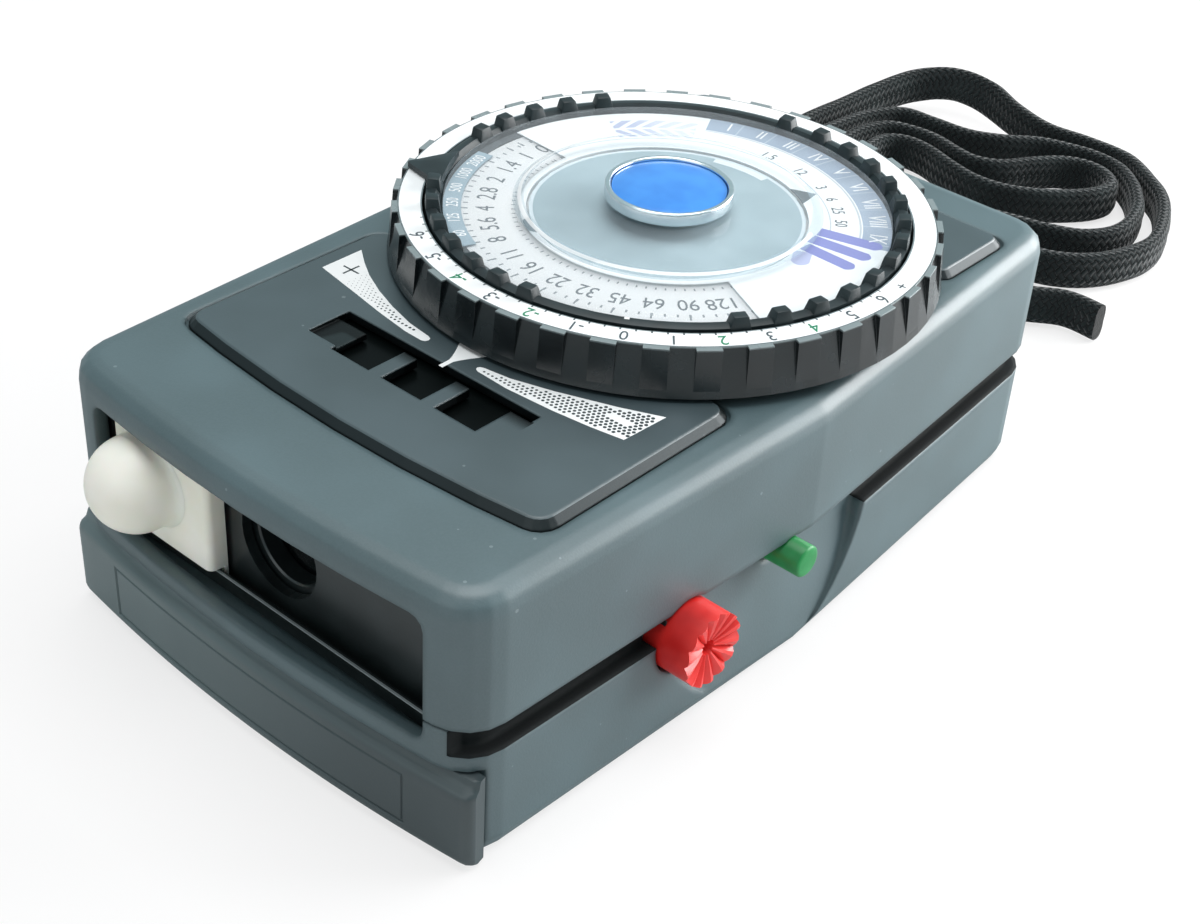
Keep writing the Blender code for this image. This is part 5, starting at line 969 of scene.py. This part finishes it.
# Wrist strap
# A flat braided cord, 6 mm wide and limp, looped over a pin at the back and laid down on its edge: out to the
# left, once round the heap, in to a hairpin and out again to a bare cut end. Its length is 0.598 m.
strap_wide, strap_thick, strap_x, lay_z = 0.0060, 0.0028, -0.0080, 0.0032
# Its section is a rounded bar with a shallow groove down each flat side, and it leans over where it is lifted.
leans_from, lean_most, lift_most = 0.1, -0.61, 0.0022
sides, ring_apart, flat_power, edge_power, groove_share, groove_half = 22, 0.0011, 0.62, 0.80, 0.10, 0.28
route = [(strap_x, 0.05535, 0.0080), (strap_x, 0.06135, 0.0080), (-0.0112, 0.0665, 0.0052)]
route += [(x, y, lay_z + sum(lift)) for x, y, *lift in (
    (-0.0170, 0.0698), (-0.0245, 0.0712), (-0.0325, 0.0738), (-0.0395, 0.0790), (-0.0440, 0.0890),
    (-0.0468, 0.1000), (-0.0475, 0.1100), (-0.0470, 0.1200), (-0.0460, 0.1290, 0.0005),
    (-0.0435, 0.1375, 0.0013), (-0.0380, 0.1420, 0.0022), (-0.0310, 0.1425, 0.0019), (-0.0235, 0.1405, 0.0007),
    (-0.0160, 0.1392), (-0.0080, 0.1397), (0.0000, 0.1390), (0.0073, 0.1340), (0.0119, 0.1295),
    (0.0157, 0.1224), (0.0178, 0.1155), (0.0171, 0.1092), (0.0142, 0.1027), (0.0090, 0.0983), (0.0011, 0.0966),
    (-0.0093, 0.0946), (-0.0208, 0.0927), (-0.0282, 0.0928), (-0.0342, 0.0970), (-0.0372, 0.1040),
    (-0.0380, 0.1120), (-0.0361, 0.1181), (-0.0317, 0.1200), (-0.0271, 0.1201), (-0.0222, 0.1188),
    (-0.0178, 0.1182), (-0.0138, 0.1203), (-0.0107, 0.1252), (-0.0072, 0.1296), (-0.0030, 0.1313),
    (0.0010, 0.1301), (0.0034, 0.1270), (0.0022, 0.1222), (-0.0022, 0.1168), (-0.0082, 0.1129),
    (-0.0141, 0.1121), (-0.0201, 0.1136), (-0.0261, 0.1157), (-0.0306, 0.1157), (-0.0333, 0.1129),
    (-0.0330, 0.1076), (-0.0303, 0.1022), (-0.0258, 0.0980), (-0.0206, 0.0981), (-0.0123, 0.1006),
    (-0.0035, 0.1039), (0.0032, 0.1057), (0.0086, 0.1083), (0.0116, 0.1126), (0.0120, 0.1176), (0.0104, 0.1235),
    (0.0083, 0.1271), (0.0054, 0.1309), (0.0007, 0.1346), (-0.0045, 0.1356), (-0.0094, 0.1347),
    (-0.0142, 0.1329), (-0.0188, 0.1291), (-0.0244, 0.1262), (-0.0314, 0.1257), (-0.0373, 0.1250),
    (-0.0408, 0.1195), (-0.0420, 0.1125), (-0.0425, 0.1040), (-0.0412, 0.0950), (-0.0376, 0.0862),
    (-0.0320, 0.0800), (-0.0240, 0.0768), (-0.0140, 0.0762), (-0.0040, 0.0785), (0.0050, 0.0822),
    (0.0124, 0.0859), (0.0176, 0.0892), (0.0234, 0.0892))]


def even_line(points, step):
    """Evenly spaced points on a smooth curve through the route"""
    fine = []
    ends = [points[0]] + points + [points[-1]]
    for a, b, c, d in zip(ends, ends[1:], ends[2:], ends[3:]):
        a, b, c, d = (Vector(p) for p in (a, b, c, d))
        fine += [(2 * b + (c - a) * t + (2 * a - 5 * b + 4 * c - d) * t * t + (3 * b - a - 3 * c + d) * t ** 3) / 2
                 for t in (k / 8 for k in range(8))]
    fine.append(Vector(points[-1]))
    total = sum((b - a).length for a, b in zip(fine, fine[1:]))
    count = round(total / step)
    out, walked, target = [fine[0]], 0.0, total / count
    for a, b in zip(fine, fine[1:]):
        while walked + (b - a).length >= target and len(out) < count:
            out.append(a.lerp(b, (target - walked) / (b - a).length))
            target += total / count
        walked += (b - a).length
    return out + [fine[-1]], total


line, strap_length = even_line(route, ring_apart)
bm = bmesh.new()
loops = []
for i, here in enumerate(line):
    ahead = (line[min(i + 1, len(line) - 1)] - line[max(i - 1, 0)]).normalized()
    beside = ahead.cross(Vector((0, 0, 1))).normalized()
    above = beside.cross(ahead)
    lifted = max(0, here.z - lay_z) / lift_most if here.y > leans_from else 0
    lean = Matrix.Rotation(lean_most * lifted ** 2, 3, ahead)
    beside, above = lean @ beside, lean @ above
    swell = 1 + 0.035 * math.sin(i * 0.9) * math.sin(i * 0.31)
    loop = []
    for k in range(sides):
        turn = 2 * math.pi * k / sides
        flat = abs(math.cos(turn)) ** flat_power * math.copysign(1, math.cos(turn))
        tall = abs(math.sin(turn)) ** edge_power * math.copysign(1, math.sin(turn))
        dip = 1 - groove_share * math.exp(-(tall / groove_half) ** 2)
        out, up = strap_thick / 2 * flat * dip * swell * 0.96, strap_wide / 2 * tall * 0.985
        loop.append(bm.verts.new(here + beside * out + above * up))
    loops.append(loop)
weave_map = bm.loops.layers.uv.new("weave")
step = strap_length / (len(line) - 1)
girth = 2 * (strap_wide + strap_thick * 0.6)
for i, (first, second) in enumerate(zip(loops, loops[1:])):
    for k in range(sides):
        j = (k + 1) % sides
        face = bm.faces.new((first[k], first[j], second[j], second[k]))
        face.smooth = True
        for corner, (u, v) in zip(face.loops, ((i, k), (i, k + 1), (i + 1, k + 1), (i + 1, k))):
            corner[weave_map].uv = (u * step * 1000, v / sides * girth * 1000)
for loop, order in ((loops[0], -1), (loops[-1], 1)):
    middle = bm.verts.new(sum((vert.co for vert in loop), Vector()) / sides)
    for k in range(sides):
        pair = (loop[k], loop[(k + 1) % sides])[::order]
        bm.faces.new((*pair, middle))
bmesh.ops.recalc_face_normals(bm, faces=bm.faces)
mesh = bpy.data.meshes.new("braided_strap")
bm.to_mesh(mesh)
bm.free()
strap = bpy.data.objects.new("braided_strap", mesh)
bpy.context.scene.collection.objects.link(strap)

braid = Finish("black_braid", Specular_IOR_Level=0.25, Sheen_Weight=0.25, Sheen_Roughness=0.4)
sewn = braid.node("UVMap", {"uv_map": "weave"}, [])
along, round_it = (Number(braid, braid.node("SeparateXYZ", {}, [sewn], axis)) for axis in "XY")
strand_mm = 1.25
left, right_hand = (along + round_it) / strand_mm, (along - round_it) / strand_mm
over = ((left - left % 1.0) + (right_hand - right_hand % 1.0)) % 2.0 > 0.5
ridge = over * (1 - abs((left % 1.0) * 2 - 1)) + (1 - over) * (1 - abs((right_hand % 1.0) * 2 - 1))
fluff = braid.noise(0.0004, 4.0)
height = ridge.fade(0, 0.9) + fluff * 0.5
# painted shade: the braid is painted darker in the hollows between strands and lighter on their crowns
colour = braid.mix(height.fade(0.25, 1.3), tone(8, 11, 12), tone(26, 34, 35))
colour = braid.mix(braid.noise(0.006).fade(0.45, 0.75) * 0.35, colour, tone(36, 46, 47))
braid.give(Base_Color=colour, Roughness=0.86 + fluff * 0.12)
braid.bump(height, 0.00022, 0.8)
mesh.materials.append(braid.material)
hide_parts("strap")
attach(strap, "housing")
